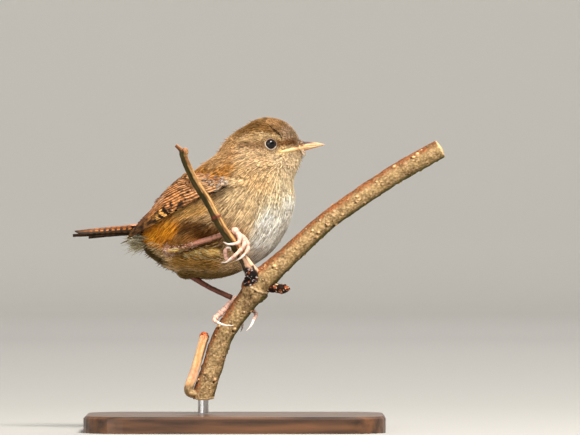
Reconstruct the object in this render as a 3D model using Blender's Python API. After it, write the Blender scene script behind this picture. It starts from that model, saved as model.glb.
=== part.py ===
"""A life-size Eurasian wren gripping a cut branch, on a small display stand.

Sizes are in millimetres and become metres when a mesh is made. X runs from the
tail to the bill as seen from the bird's right side, Y away from that side and
Z up. The origin is the middle of the underside of the stand's base.
"""

import math

import bmesh
import bpy
import numpy as np
from mathutils import Vector

MM = 0.001
GAP = 0.3  # left between two nodes that meet
CLEAR = 0.36  # what a neighbour is grown by before it is cut away, a little over the gap

# The body is a stack of level oval slices from crown to belly. The trunk is turned
# towards the viewer of the right side, and the head is turned back into profile.
TRUNK_TURN = math.radians(20)
TRUNK_DEPTH = 4.0  # Y of the bird's middle plane where X is 0
HEAD_DEPTH = 2.0  # Y of the head's middle plane
FACE_TAPER = 0.26  # how much narrower the face is than the back of the head
BODY_SIDES = 36
BODY_STEPS = 2  # slices from one row of the table to the next
HEIGHT, MIDDLE, HALF_LENGTH, HALF_WIDTH, HEAD_SHARE = range(5)
BODY_SLICES = (
    (94.2, 9.9, 0.0, 0.0, 1.0),  # crown
    (93.75, 9.9, 2.7, 3.0, 1.0),
    (93.0, 10.05, 4.7, 4.9, 1.0),
    (91.8, 10.0, 6.5, 6.4, 1.0),
    (90.0, 9.3, 8.8, 7.6, 1.0),
    (87.9, 8.6, 10.7, 8.3, 1.0),  # eyes
    (85.5, 8.1, 12.0, 8.7, 1.0),  # bill
    (83.1, 7.35, 12.9, 9.0, 1.0),
    (80.7, 5.4, 14.2, 9.8, 0.82),  # throat
    (77.7, 2.9, 15.7, 11.2, 0.35),
    (74.1, 0.5, 17.4, 12.6, 0.0),  # shoulders
    (69.9, -1.3, 20.0, 13.5, 0.0),
    (65.7, -3.4, 21.6, 13.7, 0.0),
    (61.5, -5.4, 22.3, 13.4, 0.0),  # root of the tail
    (57.3, -7.2, 21.8, 12.4, 0.0),
    (53.7, -8.1, 19.9, 10.8, 0.0),
    (50.7, -8.3, 16.0, 8.8, 0.0),
    (48.3, -8.5, 11.5, 6.2, 0.0),
    (46.5, -8.3, 6.7, 3.6, 0.0),
    (45.45, -8.4, 0.0, 0.0, 0.0),  # belly
)
NAPE = (-3.0, 85.8)  # X and Z of the ends of the two cuts that part the body
CHIN = (18.6, 78.9)
MANTLE = (-10.5, 79.8)
CHEST = (17.1, 70.8)

EYE = (10.8, 86.05)  # X and Z of the eye's centre, seen from the side
EYE_RADIUS = 1.85
EYE_SUNK = 0.95  # depth of its centre under the face
LID_RING = 2.12  # radius of the ring of the lids
LID_THICKNESS = 0.4

BILL_TIP = (27.0, 85.85)
BILL_ROOT = (17.2, 84.55)  # on the line of the mouth, inside the face
BILL_HALF_WIDTH = 2.0
CULMEN_RISE = 1.75
JAW_DEPTH = 1.3
MOUTH_GAP = 0.16  # each half of the bill keeps this from the line of the mouth
NOSTRIL = (20.6, 86.0)
NOSTRIL_RADII = (0.75, 0.3, 0.28)
GAPE = (13.2, 83.7)  # corner of the mouth
GAPE_GROOVE = 0.18

# The wings lie on a surface a little outside the trunk, drawn out towards the tail
# below this height so that their tips stand clear of the tail's sides.
WING_FLARE_TOP = 66.0
WING_FLARE_DEPTH = 9.0
WING_FLARE = 7.0
WING_UNDER = 0.58  # from the trunk to a wing's inner face
WING_LOWER_EDGE = ((0.6, 74.4), (-6.9, 70.8), (-15.0, 66.9), (-21.9, 63.4), (-26.7, 59.3))
WING_TIP = (-32.1, 57.0)
# Z, and degrees from the body's front
WING_UPPER_EDGE = ((76.9, 125.0), (75.4, 150.0), (71.5, 170.0), (66.5, 173.0), (61.5, 167.0))
ARM_REACH = 0.5  # share of the wing's length that the arm under the coverts takes
ARM_ROUND = 0.14  # share of the arm's length taken off its two front corners
ARM_RISE = 0.75

# A feather's half width at shares of its length, root to tip
VANE_SHARES = (0.0, 0.3, 0.6, 0.82, 0.95, 1.0)
VANE_BREADTHS = (0.6, 0.9, 1.0, 0.88, 0.55, 0.2)
VANE_THICKNESS = 0.56
VANE_LEAN = 0.45  # how far a feather's upper edge dips under the next feather
# Each row of wing feathers: how many, half width, rise of the lower edge off the trunk, then the
# places of the lowest and the highest feather's root and tip as shares along and across the wing
WING_ROWS = {
    "primary": (6, 1.3, 1.42, (0.44, 0.06), (0.38, 0.36), (1.0, 0.5), (0.88, 0.76)),
    "secondary": (5, 1.55, 1.54, (0.36, 0.36), (0.3, 0.68), (0.85, 0.74), (0.71, 0.9)),
    "tertial": (3, 1.9, 1.68, (0.22, 0.66), (0.16, 0.88), (0.68, 0.82), (0.5, 0.95)),
    "greater_covert": (6, 1.5, 1.8, (0.24, 0.12), (0.16, 0.72), (0.52, 0.07), (0.4, 0.74)),
    "median_covert": (5, 1.5, 1.95, (0.12, 0.18), (0.06, 0.8), (0.33, 0.1), (0.25, 0.78)),
}

TAIL_ROOT = (-22.0, 61.2)  # X and Z, inside the trunk
TAIL_LENGTH = 28.4
TAIL_DROP = math.radians(3.4)
TAIL_PAIRS = 6
TAIL_STEP = 0.36  # how far each pair lies under the pair inside it
TAIL_TOP = 0.9  # rise of the middle pair
TAIL_SPREAD = 0.95  # sideways from one feather's tip to the next
TAIL_HALF_WIDTH = 1.5  # of one feather
TAIL_CORE = (11.0, 2.3, 1.1, -1.5)  # length, half width, top and bottom
# Tail coverts: along, aside and rise at the root and at the tip, and half width
TAIL_COVERTS = (
    ((0.0, 0.0, 1.5), (11.0, 0.0, 1.35), 1.7),
    ((0.0, 1.2, 1.2), (9.0, 1.5, 1.05), 1.4),
    ((0.0, -1.2, 1.2), (9.0, -1.5, 1.05), 1.4),
    ((0.0, 0.0, -1.5), (13.6, 0.0, -4.4), 1.5),
    ((0.0, 1.3, -1.3), (11.0, 1.5, -3.4), 1.4),
    ((0.0, -1.3, -1.3), (11.0, -1.5, -3.4), 1.4),
)

# X, Y, Z and radius along each shank, from its heel to just short of the sole
RIGHT_SHANK = (
    (-20.9, -0.6, 54.1, 1.05),
    (-18.4, -3.6, 54.6, 0.85),
    (-8.5, -8.9, 57.4, 0.75),
    (-3.2, -9.4, 59.1, 0.75),
    (-1.2, -9.6, 59.7, 0.8),
)
LEFT_SHANK = (
    (-14.0, 6.9, 46.9, 0.95),
    (-8.0, 5.2, 43.2, 0.75),
    (-1.1, 2.9, 40.0, 0.8),
)
RIGHT_THIGH = (
    (-5.6, -6.0, 61.2, 0.9),
    (-7.2, -6.1, 60.8, 2.4),
    (-10.5, -5.4, 59.6, 3.4),
    (-14.6, -3.9, 57.6, 3.3),
    (-17.8, -2.4, 55.8, 2.4),
    (-20.2, -1.1, 54.5, 1.3),
)
LEFT_THIGH = ((-14.4, 6.9, 47.5), (3.3, 2.5, 2.1))  # centre and radii
RIGHT_SOLE = (0.1, -10.9, 60.0)
LEFT_SOLE = (0.3, 2.5, 39.4)
# Each toe from the sole to the claw's tip
RIGHT_TOES = (
    ((0.4, -11.3, 59.8, 0.7), (1.4, -12.2, 58.3, 0.62), (1.2, -12.7, 56.6, 0.58), (0.0, -12.9, 56.2, 0.4),
     (-2.0, -12.6, 56.1, 0.3), (-3.4, -12.0, 56.8, 0.1)),
    ((0.5, -10.8, 59.8, 0.75), (2.6, -11.2, 57.7, 0.66), (2.7, -11.9, 55.6, 0.62), (0.6, -12.5, 53.2, 0.55),
     (-1.0, -12.2, 51.9, 0.42), (-2.4, -11.4, 50.8, 0.28), (-4.0, -10.6, 50.6, 0.1)),
    ((0.5, -10.4, 59.6, 0.7), (3.3, -10.1, 57.4, 0.62), (4.0, -10.6, 54.9, 0.56), (2.9, -11.2, 53.0, 0.42),
     (1.5, -11.3, 51.8, 0.3), (0.0, -10.8, 51.0, 0.1)),
    ((0.2, -10.1, 59.6, 0.7), (1.0, -8.1, 57.0, 0.62), (1.0, -7.5, 54.2, 0.6), (-0.9, -7.9, 51.9, 0.62),
     (-2.4, -9.2, 51.9, 0.62), (-2.8, -10.4, 54.0, 0.6), (-2.4, -10.9, 55.0, 0.42), (-1.4, -11.3, 55.1, 0.3),
     (-1.1, -11.5, 54.1, 0.1)),
)
LEFT_TOES = (
    ((0.1, 2.6, 39.4, 0.75), (-1.6, 1.6, 38.3, 0.75), (-3.4, 0.2, 36.2, 0.85), (-5.2, -1.2, 34.6, 0.88),
     (-6.2, -2.6, 33.4, 0.68), (-5.2, -4.0, 32.6, 0.42), (-3.0, -4.9, 31.8, 0.3), (-0.4, -4.9, 31.7, 0.1)),
    ((0.4, 2.9, 39.3, 0.7), (2.6, 3.9, 37.6, 0.6), (5.4, 2.7, 36.1, 0.6), (6.3, 0.0, 34.9, 0.55),
     (5.6, -2.1, 33.4, 0.45), (4.8, -3.5, 31.6, 0.35), (3.4, -4.0, 30.0, 0.1)),
    ((0.4, 2.9, 39.4, 0.7), (2.6, 3.7, 40.4, 0.6), (5.0, 3.2, 40.3, 0.55), (6.4, 1.9, 39.5, 0.42),
     (6.7, 0.9, 38.5, 0.3), (6.3, 0.3, 37.5, 0.1)),
    ((0.3, 2.9, 39.2, 0.7), (0.8, 4.3, 36.6, 0.6), (1.6, 4.4, 34.4, 0.55), (2.2, 3.7, 32.6, 0.4),
     (2.2, 2.9, 31.0, 0.3), (1.7, 2.2, 29.8, 0.1)),
)

BRANCH = (  # X, Y, Z and radius along the middle of the branch
    (-9.55, 2.0, 9.6, 3.25),
    (-9.55, 2.0, 10.2, 3.25),
    (-9.5, 2.0, 10.8, 3.25),
    (-8.85, 1.8, 12.9, 3.3),
    (-6.7, 1.2, 19.5, 3.2),
    (-4.1, 0.4, 27.5, 3.2),
    (-1.2, -0.2, 32.5, 3.2),
    (2.0, -0.9, 37.0, 3.3),
    (4.4, -1.9, 40.2, 3.45),
    (7.4, -3.4, 44.4, 4.0),
    (11.2, -4.6, 48.1, 3.5),
    (16.1, -5.2, 52.6, 3.2),
    (25.9, -5.8, 61.6, 3.0),
    (32.0, -6.0, 66.3, 2.95),
    (47.8, -6.4, 76.9, 3.05),
    (61.5, -6.8, 84.6, 3.0),
)
KNOT = ((6.2, -3.0, 42.9), (4.3, 4.4, 4.7))  # centre and radii
TWIG = (
    (7.0, -3.2, 43.6, 1.9),
    (5.3, -5.2, 47.2, 2.2),
    (4.3, -6.3, 48.9, 1.9),
    (3.0, -7.9, 51.2, 1.5),
    (0.9, -9.9, 54.5, 1.45),
    (-2.8, -12.2, 59.5, 1.45),
    (-5.1, -13.6, 63.6, 1.45),
    (-5.5, -13.8, 64.2, 1.75),
    (-5.9, -14.0, 64.9, 1.4),
    (-8.2, -14.9, 69.4, 1.35),
    (-11.7, -16.8, 74.6, 1.3),
    (-14.2, -18.2, 80.0, 1.15),
    (-15.1, -18.8, 82.6, 1.15),
    (-15.0, -18.9, 83.6, 1.4),
    (-15.4, -19.1, 84.4, 0.9),
)
TWIG_SPUR = ((-15.2, -18.9, 83.4, 0.7), (-16.4, -19.2, 84.6, 0.55), (-17.4, -19.4, 85.5, 0.4))
BUD = ((9.0, -4.4, 43.8, 1.7), (13.0, -5.2, 42.8, 1.6), (15.2, -5.7, 42.7, 1.35), (16.4, -6.0, 42.7, 0.7))
SIDE_SHOOT = (
    (-8.6, 1.6, 11.0, 1.3),
    (-12.6, 0.8, 11.2, 1.35),
    (-13.9, 0.4, 12.6, 1.4),
    (-12.4, 0.1, 17.2, 1.4),
    (-10.5, -0.2, 23.5, 1.4),
    (-9.3, -0.5, 28.0, 1.4),
    (-9.1, -0.6, 28.9, 1.1),
    (-8.9, -0.6, 29.6, 0.6),
)

BASE_SIZE = (90.0, 56.0, 5.0)
BASE_CORNER = 12.0
BASE_CHAMFER = 0.7
ROD_RADIUS = 1.6


def material(name, colour, roughness, metallic=0.0):
    made = bpy.data.materials.new(name)
    made.use_nodes = True
    shader = made.node_tree.nodes["Principled BSDF"]
    shader.inputs["Base Color"].default_value = (*colour, 1)
    shader.inputs["Roughness"].default_value = roughness
    shader.inputs["Metallic"].default_value = metallic
    return made


def collection(name, hidden=False):
    made = bpy.data.collections.new(name)
    made.hide_render = hidden
    bpy.context.scene.collection.children.link(made)
    return made


def solid(name, points, faces, home):
    """A mesh object from points in millimetres, its faces turned to point outwards."""
    mesh = bpy.data.meshes.new(name)
    mesh.from_pydata([Vector(p) * MM for p in points], [], faces)
    shape = bmesh.new()
    shape.from_mesh(mesh)
    if shape.calc_volume(signed=True) < 0:
        bmesh.ops.reverse_faces(shape, faces=shape.faces)
    shape.to_mesh(mesh)
    shape.free()
    made = bpy.data.objects.new(name, mesh)
    home.objects.link(made)
    return made


def spline(rows, steps):
    """Points of a Catmull-Rom curve through rows, which carry their own end rows."""
    found = []
    for before, start, end, after in zip(rows, rows[1:], rows[2:], rows[3:]):
        for share in np.arange(steps) / steps:
            found.append(
                0.5 * (2 * start + (end - before) * share
                       + (2 * before - 5 * start + 4 * end - after) * share ** 2
                       + (3 * start - before - 3 * end + after) * share ** 3)
            )
    found.append(rows[-2])
    return np.array(found)


def open_curve(points, steps):
    """A smooth curve through points, without a bend at its ends."""
    points = np.array(points, float)
    ends = [2 * points[0] - points[1]], [2 * points[-1] - points[-2]]
    return spline(np.vstack([ends[0], points, ends[1]]), steps)


def body_rows(steps):
    """Slices of the body, where the row past each pole lies across it."""
    rows = np.array(BODY_SLICES)
    across = np.array((1, 1, -1, -1, 1))
    return spline(np.vstack([rows[1] * across, rows, rows[-2] * across]), steps)


BODY_CURVE = body_rows(24)[::-1]


def slice_at(height):
    return [np.interp(height, BODY_CURVE[:, HEIGHT], BODY_CURVE[:, column])
            for column in (MIDDLE, HALF_LENGTH, HALF_WIDTH, HEAD_SHARE)]


def on_slice(height, angle, middle, length, width, head):
    """The point of a slice at an angle from its front, positive on the bird's left."""
    turn = TRUNK_TURN * (1 - head)
    depth = (TRUNK_DEPTH - math.tan(TRUNK_TURN) * middle) * (1 - head) + HEAD_DEPTH * head
    forward = length * math.cos(angle)
    left = width * math.sin(angle) * (1 - FACE_TAPER * head * math.cos(angle))
    return np.array((
        middle + forward * math.cos(turn) + left * math.sin(turn),
        depth - forward * math.sin(turn) + left * math.cos(turn),
        height,
    ))


def body(name, home, grow=0.0):
    """The whole body in one closed surface, all its slices grown by the same width."""
    rows = body_rows(BODY_STEPS)
    rows[:, HEIGHT] += np.linspace(grow, -grow, len(rows))
    points = [on_slice(rows[0][HEIGHT], 0, *rows[0][1:])]
    for row in rows[1:-1]:
        for side in range(BODY_SIDES):
            height, middle, length, width, head = row
            angle = 2 * math.pi * side / BODY_SIDES
            points.append(on_slice(height, angle, middle, length + grow, width + grow, head))
    points.append(on_slice(rows[-1][HEIGHT], 0, *rows[-1][1:]))
    last = len(points) - 1
    rings = len(rows) - 2
    faces = []
    for side in range(BODY_SIDES):
        beside = (side + 1) % BODY_SIDES
        faces.append((0, 1 + side, 1 + beside))
        for ring in range(rings - 1):
            upper = 1 + ring * BODY_SIDES
            lower = upper + BODY_SIDES
            faces.append((upper + side, lower + side, lower + beside, upper + beside))
        lower = 1 + (rings - 1) * BODY_SIDES
        faces.append((last, lower + beside, lower + side))
    return solid(name, points, faces, home)


def cut_away(made, back, front, above):
    """Removes what lies above, or below, the slanting plane through two places seen from the side."""
    start = Vector((back[0], 0, back[1])) * MM
    along = Vector((front[0], 0, front[1])) * MM - start
    up = Vector((-along.z, 0, along.x)).normalized()
    shape = bmesh.new()
    shape.from_mesh(made.data)
    everything = shape.verts[:] + shape.edges[:] + shape.faces[:]
    shift = up * (GAP / 2 * MM) * (-1 if above else 1)
    cut = bmesh.ops.bisect_plane(
        shape, geom=everything, plane_co=start + shift, plane_no=up,
        clear_outer=above, clear_inner=not above, dist=1e-7,
    )
    rim = [part for part in cut["geom_cut"] if isinstance(part, bmesh.types.BMEdge)]
    bmesh.ops.contextual_create(shape, geom=rim)
    shape.to_mesh(made.data)
    shape.free()


def tube(name, rows, home, steps=2, resolution=2, grow=0.0):
    """A round rod along rows of X, Y, Z and radius, with both ends closed."""
    rows = open_curve(rows, steps)
    for end, beside in ((0, 1), (-1, -2)):
        outward = rows[end][:3] - rows[beside][:3]
        rows[end][:3] += outward / np.linalg.norm(outward) * grow
    curve = bpy.data.curves.new(name, "CURVE")
    curve.dimensions = "3D"
    curve.bevel_depth = MM
    curve.bevel_resolution = resolution
    curve.use_fill_caps = True
    line = curve.splines.new("POLY")
    line.points.add(len(rows) - 1)
    for point, (x, y, z, radius) in zip(line.points, rows):
        point.co = (x * MM, y * MM, z * MM, 1)
        point.radius = radius + grow
    guide = bpy.data.objects.new(name, curve)
    home.objects.link(guide)
    bpy.context.view_layer.update()
    mesh = bpy.data.meshes.new_from_object(guide.evaluated_get(bpy.context.evaluated_depsgraph_get()))
    bpy.data.objects.remove(guide)
    shape = bmesh.new()
    shape.from_mesh(mesh)
    bmesh.ops.remove_doubles(shape, verts=shape.verts, dist=1e-6)
    if shape.calc_volume(signed=True) < 0:
        bmesh.ops.reverse_faces(shape, faces=shape.faces)
    shape.to_mesh(mesh)
    shape.free()
    mesh.name = name
    made = bpy.data.objects.new(name, mesh)
    home.objects.link(made)
    return made


def ball(name, centre, radii, home, segments=16, rings=10):
    bpy.ops.mesh.primitive_uv_sphere_add(segments=segments, ring_count=rings, radius=MM)
    made = bpy.context.object
    for vertex in made.data.vertices:
        vertex.co = Vector([size * r + c * MM for size, r, c in zip(vertex.co, radii, centre)])
    made.name = name
    for old in made.users_collection:
        old.objects.unlink(made)
    home.objects.link(made)
    return made


def sheet(name, place, along, across, home):
    """A closed sheet. place gives the point at a share along and across, on its outer or inner face."""
    points = [place(u, v, face) for face in (1, -1) for u in along for v in across]
    rows, columns = len(along), len(across)
    inner = rows * columns
    faces = []
    for i in range(rows - 1):
        for j in range(columns - 1):
            corner = i * columns + j
            quad = corner, corner + 1, corner + columns + 1, corner + columns
            for triangle in ((quad[0], quad[1], quad[2]), (quad[0], quad[2], quad[3])):
                faces.append(triangle)
                faces.append(tuple(index + inner for index in triangle[::-1]))
    rim = list(range(columns - 1))
    rim += [i * columns + columns - 1 for i in range(rows - 1)]
    rim += [(rows - 1) * columns + j for j in range(columns - 1, 0, -1)]
    rim += [i * columns for i in range(rows - 1, 0, -1)]
    for start, end in zip(rim, rim[1:] + rim[:1]):
        faces.append((end, start, start + inner))
        faces.append((end, start + inner, end + inner))
    return solid(name, points, faces, home)


def boolean(made, other, operation, solver="EXACT"):
    """Joins, or cuts, an object with another or with all of a collection."""
    step = made.modifiers.new(operation, "BOOLEAN")
    step.operation = operation
    step.solver = solver
    if isinstance(other, bpy.types.Collection):
        step.operand_type = "COLLECTION"
        step.collection = other
    else:
        step.object = other
    bpy.context.view_layer.update()
    mesh = bpy.data.meshes.new_from_object(made.evaluated_get(bpy.context.evaluated_depsgraph_get()))
    made.modifiers.clear()
    mesh.name = made.name
    made.data = mesh
    keep_largest(made)


def keep_largest(made):
    """Drops every closed surface of a mesh but the one that holds the most."""
    shape = bmesh.new()
    shape.from_mesh(made.data)
    left = set(shape.verts)
    groups = []
    while left:
        group = {left.pop()}
        edge = list(group)
        while edge:
            for link in edge.pop().link_edges:
                for vertex in link.verts:
                    if vertex in left:
                        left.discard(vertex)
                        group.add(vertex)
                        edge.append(vertex)
        groups.append(group)
    if len(groups) > 1:
        def extent(group):
            return sum(max(v.co[i] for v in group) - min(v.co[i] for v in group) for i in range(3))
        largest = max(groups, key=extent)
        loose = [vertex for vertex in shape.verts if vertex not in largest]
        bmesh.ops.delete(shape, geom=loose, context="VERTS")
    shape.to_mesh(made.data)
    shape.free()


def join(made, pieces):
    """Fuses every piece of a collection into an object and removes the pieces."""
    boolean(made, pieces, "UNION")
    for piece in list(pieces.objects):
        bpy.data.objects.remove(piece)
    bpy.data.collections.remove(pieces)


def cut(made, *others):
    for other in others:
        boolean(made, other, "DIFFERENCE")


def face_point(x, height, side):
    """Where the head's surface lies at a place seen from the side; side is -1 on the right."""
    middle, length, width, _ = slice_at(height)
    angle = side * math.acos((x - middle) / length)
    return Vector(on_slice(height, angle, middle, length, width, 1.0))


def face_outward(x, height, side):
    step = 0.5
    ahead = face_point(x + step, height, side) - face_point(x - step, height, side)
    up = face_point(x, height + step, side) - face_point(x, height - step, side)
    return (up.cross(ahead) * side).normalized()


def eye_centre(side):
    return face_point(*EYE, side) - face_outward(*EYE, side) * EYE_SUNK


def add_lids(head, side, cutters):
    """The ring of the lids, and the socket that the eye sits in."""
    outward = face_outward(*EYE, side)
    bpy.ops.mesh.primitive_torus_add(
        major_radius=LID_RING * MM, minor_radius=LID_THICKNESS * MM, major_segments=20, minor_segments=6,
        rotation=outward.to_track_quat("Z", "Y").to_euler(),
        location=(face_point(*EYE, side) + outward * 0.05) * MM,
    )
    ring = bpy.context.object
    boolean(head, ring, "UNION")
    bpy.data.objects.remove(ring)
    cut(head, ball("socket", eye_centre(side), [EYE_RADIUS + CLEAR] * 3, cutters))


def bill_half(name, home, upward):
    """One mandible: flat at the line of the mouth, rounded away from it, tapering to the tip."""
    rise = CULMEN_RISE if upward else JAW_DEPTH
    rings = []
    for share in (0, 0.15, 0.3, 0.45, 0.6, 0.75, 0.88, 0.96, 1):
        x = BILL_ROOT[0] + (BILL_TIP[0] - BILL_ROOT[0]) * share
        z = BILL_ROOT[1] + (BILL_TIP[1] - BILL_ROOT[1]) * share + 0.25 * math.sin(math.pi * share)
        if not upward:
            x -= 0.5 * share
        width = BILL_HALF_WIDTH * (1 - share) ** 0.9 + 0.16
        height = rise * (1 - share ** 1.4) ** 0.9 + 0.12
        base = z + (MOUTH_GAP if upward else -MOUTH_GAP)
        ring = []
        for step in range(7):
            angle = math.pi * step / 6
            lift = height * math.sin(angle) * (1 if upward else -1)
            ring.append((x, HEAD_DEPTH - width * math.cos(angle), base + lift))
        ring.append((x, HEAD_DEPTH, base))
        rings.append(ring)
    points = [point for ring in rings for point in ring]
    sides = len(rings[0])
    faces = [tuple(range(sides))[::-1], tuple(range(len(points) - sides, len(points)))]
    for ring in range(len(rings) - 1):
        for side in range(sides):
            start = ring * sides
            beside = (side + 1) % sides
            faces.append((start + side, start + beside, start + sides + beside, start + sides + side))
    return solid(name, points, faces, home)


def make_head(bird, cutters):
    head = body("head", bird)
    cut_away(head, NAPE, CHIN, above=False)
    upper = bill_half("bill_upper", bird, True)
    lower = bill_half("bill_lower", bird, False)
    grown = body("grown_head", cutters, CLEAR)
    cut(upper, grown)
    cut(lower, grown)
    for side in (-1, 1):
        nostril = (NOSTRIL[0], HEAD_DEPTH + side * 1.35, NOSTRIL[1])
        cut(upper, ball("nostril", nostril, NOSTRIL_RADII, cutters, 8, 6))
    for side, name in ((-1, "eye_right"), (1, "eye_left")):
        add_lids(head, side, cutters)
        ball(name, eye_centre(side), [EYE_RADIUS] * 3, bird, 14, 8)
        corner = face_point(*GAPE, side)
        middle = face_point(16.3, 84.25, side)
        front = face_point(19.2, 84.75, side)
        line = [(*point, GAPE_GROOVE) for point in (corner, middle, front)]
        cut(head, tube("mouth_line", line, cutters, 2, 0))
    return head


def wing_slice(height):
    middle, length, width, head = slice_at(height)
    flare = WING_FLARE * np.clip((WING_FLARE_TOP - height) / WING_FLARE_DEPTH, 0, 1) ** 2
    return middle - flare / 2 * math.cos(TRUNK_TURN), length + flare / 2, width, head


def wing_frame(height, angle):
    """The wing's own surface at a signed angle round it: a point, outwards, and the ways up and round."""
    step = 0.02
    point = on_slice(height, angle, *wing_slice(height))
    up = (on_slice(height + step, angle, *wing_slice(height + step)) - point) / step
    around = (on_slice(height, angle + step, *wing_slice(height)) - point) / step
    outward = np.cross(around, up)
    return point, outward / np.linalg.norm(outward), up, around


def on_wing(height, angle, rise):
    point, outward, _, _ = wing_frame(height, angle)
    return point + outward * rise


def seen_angle(x, height):
    """The angle, in degrees from the front, of a place of the wing seen from the right side."""
    middle, length, width, head = wing_slice(height)
    turn = TRUNK_TURN * (1 - head)
    ahead, aside = length * math.cos(turn), width * math.sin(turn)
    share = np.clip((x - middle) / math.hypot(ahead, aside), -0.999, 0.999)
    return math.degrees(math.acos(share) - math.atan2(aside, ahead))


def wing_edges():
    """Height and angle along the lower and the upper edge of a closed wing, wrist to tip."""
    tip = (WING_TIP[1], seen_angle(*WING_TIP))
    lower = [(z, seen_angle(x, z)) for x, z in WING_LOWER_EDGE] + [tip]
    upper = list(WING_UPPER_EDGE) + [tip]
    return open_curve(lower, 4), open_curve(upper, 4)


def edge_point(edge, share):
    at = share * (len(edge) - 1)
    return np.array([np.interp(at, range(len(edge)), edge[:, column]) for column in (0, 1)])


def wing_feather(name, side, spots, half_width, rise, home):
    """A feather bent over the wing's surface through the heights and degrees of its root, middle and tip."""
    root, middle, tip = [np.array((height, side * math.radians(degrees))) for height, degrees in spots]

    def path(u):
        return root * (1 - u) ** 2 + middle * 2 * u * (1 - u) + tip * u * u

    def place(u, v, face):
        _, outward, up, around = wing_frame(*path(u))
        ahead = path(u + 0.02) - path(u - 0.02)
        across = np.cross(outward, up * ahead[0] + around * ahead[1]) * side
        shift = np.linalg.lstsq(np.array((up, around)).T, across / np.linalg.norm(across), rcond=None)[0]
        breadth = half_width * np.interp(u, VANE_SHARES, VANE_BREADTHS)
        thickness = VANE_THICKNESS * (1 - 0.45 * u ** 4)
        dip = VANE_LEAN * (v + 1) / 2 + 0.35 * (1 - u) ** 2
        return on_wing(*(path(u) + shift * v * breadth), rise - dip + face * thickness / 2)

    return sheet(name, place, VANE_SHARES, (-1, 1), home)


def make_wing(name, side, bird):
    """The arm as one plate, with rows of feathers that each lie over the row below."""
    lower, upper = wing_edges()

    def spot(along, across):
        return edge_point(lower, along) * (1 - across) + edge_point(upper, along) * across

    def place(u, v, face):
        start = ARM_ROUND * (2 * v - 1) ** 2
        height, degrees = spot((start + (1 - start) * u) * ARM_REACH, 0.04 + 0.92 * v)
        rise = WING_UNDER + (ARM_RISE * min(1, 0.5 + 2 * math.sin(math.pi * v)) if face > 0 else 0)
        return on_wing(height, side * math.radians(degrees), rise)

    wing = sheet(name, place, np.linspace(0, 1, 7), np.linspace(0, 1, 6), bird)
    pieces = collection(name + "_feathers", hidden=True)
    for row, (count, half_width, rise, *ends) in WING_ROWS.items():
        first_root, last_root, first_tip, last_tip = [np.array(end) for end in ends]
        for number in range(count):
            share = number / (count - 1)
            root = first_root + (last_root - first_root) * share
            tip = first_tip + (last_tip - first_tip) * share
            spots = spot(*root), spot(*((root + tip) / 2)), spot(*tip)
            wing_feather(f"{name}_{row}_{number}", side, spots, half_width, rise + 0.02 * number, pieces)
    join(wing, pieces)
    return wing


def tail_point(along, aside, rise):
    """A place over the tail, from its root along, to the bird's left and up."""
    x = TAIL_ROOT[0] - along * math.cos(TAIL_DROP) * math.cos(TRUNK_TURN)
    root_depth = TRUNK_DEPTH - math.tan(TRUNK_TURN) * TAIL_ROOT[0]
    y = root_depth + along * math.cos(TAIL_DROP) * math.sin(TRUNK_TURN)
    z = TAIL_ROOT[1] - along * math.sin(TAIL_DROP) + rise
    return np.array((x + aside * math.sin(TRUNK_TURN), y + aside * math.cos(TRUNK_TURN), z))


def tail_feather(name, root, tip, half_width, home):
    """A straight feather of the tail from along, aside and rise at its root to those at its tip."""
    root, tip = np.array(root), np.array(tip)

    def place(u, v, face):
        along, aside, rise = root + (tip - root) * u
        breadth = half_width * np.interp(u, VANE_SHARES, VANE_BREADTHS)
        outer = v * math.copysign(1, aside) if aside else abs(v)
        thickness = VANE_THICKNESS * (1 - 0.45 * u ** 4)
        return tail_point(along, aside + v * breadth, rise - 0.12 * outer + face * thickness / 2)

    return sheet(name, place, VANE_SHARES, (-1, 1), home)


def make_tail(bird, grown):
    """Pairs of feathers, each under the pair inside it, with coverts over and under their roots."""
    length, half, top, bottom = TAIL_CORE

    def place(u, v, face):
        return tail_point(length * u, half * v, (top if face > 0 else bottom) * (1 - 0.5 * u))

    tail = sheet("tail", place, (0, 0.5, 1), (-1, 0, 1), bird)
    pieces = collection("tail_feathers", hidden=True)
    for pair in range(TAIL_PAIRS):
        rise = TAIL_TOP - TAIL_STEP * pair
        for side in (-1, 1):
            root = (0, side * (0.25 + 0.32 * pair), rise)
            tip = (TAIL_LENGTH - 0.6 * pair ** 1.2, side * (0.4 + TAIL_SPREAD * pair), rise - 0.04 * side)
            tail_feather(f"tail_{pair}_{side}", root, tip, TAIL_HALF_WIDTH, pieces)
    for number, (root, tip, half_width) in enumerate(TAIL_COVERTS):
        tail_feather(f"tail_covert_{number}", root, tip, half_width, pieces)
    join(tail, pieces)
    cut(tail, grown)
    return tail


def foot(name, sole, toes, bird):
    """Toes, each a row of X, Y, Z and radius down to the claw's tip, fused at the sole."""
    made = ball(name, sole, (1.15, 1.0, 1.15), bird, 12, 8)
    pieces = collection(name + "_toes", hidden=True)
    for number, toe in enumerate(toes):
        tube(f"{name}_toe_{number}", toe, pieces, 2, 1)
    join(made, pieces)
    return made


def make_legs(bird, cutters, grown):
    thigh = tube("thigh_right", RIGHT_THIGH, bird, 2, 3)
    tube("tarsus_right", RIGHT_SHANK, bird, 2)
    cut(thigh, grown, tube("grown_shank", RIGHT_SHANK, cutters, 2, 2, CLEAR))
    centre, radii = LEFT_THIGH
    cut(ball("thigh_left", centre, radii, bird, 16, 10), grown)
    tarsus = tube("tarsus_left", LEFT_SHANK, bird, 3)
    grown_thigh = ball("grown_thigh", centre, [radius + CLEAR for radius in radii], cutters)
    cut(tarsus, grown_thigh, grown)
    foot("foot_right", RIGHT_SOLE, RIGHT_TOES, bird)
    foot("foot_left", LEFT_SOLE, LEFT_TOES, bird)


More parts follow.
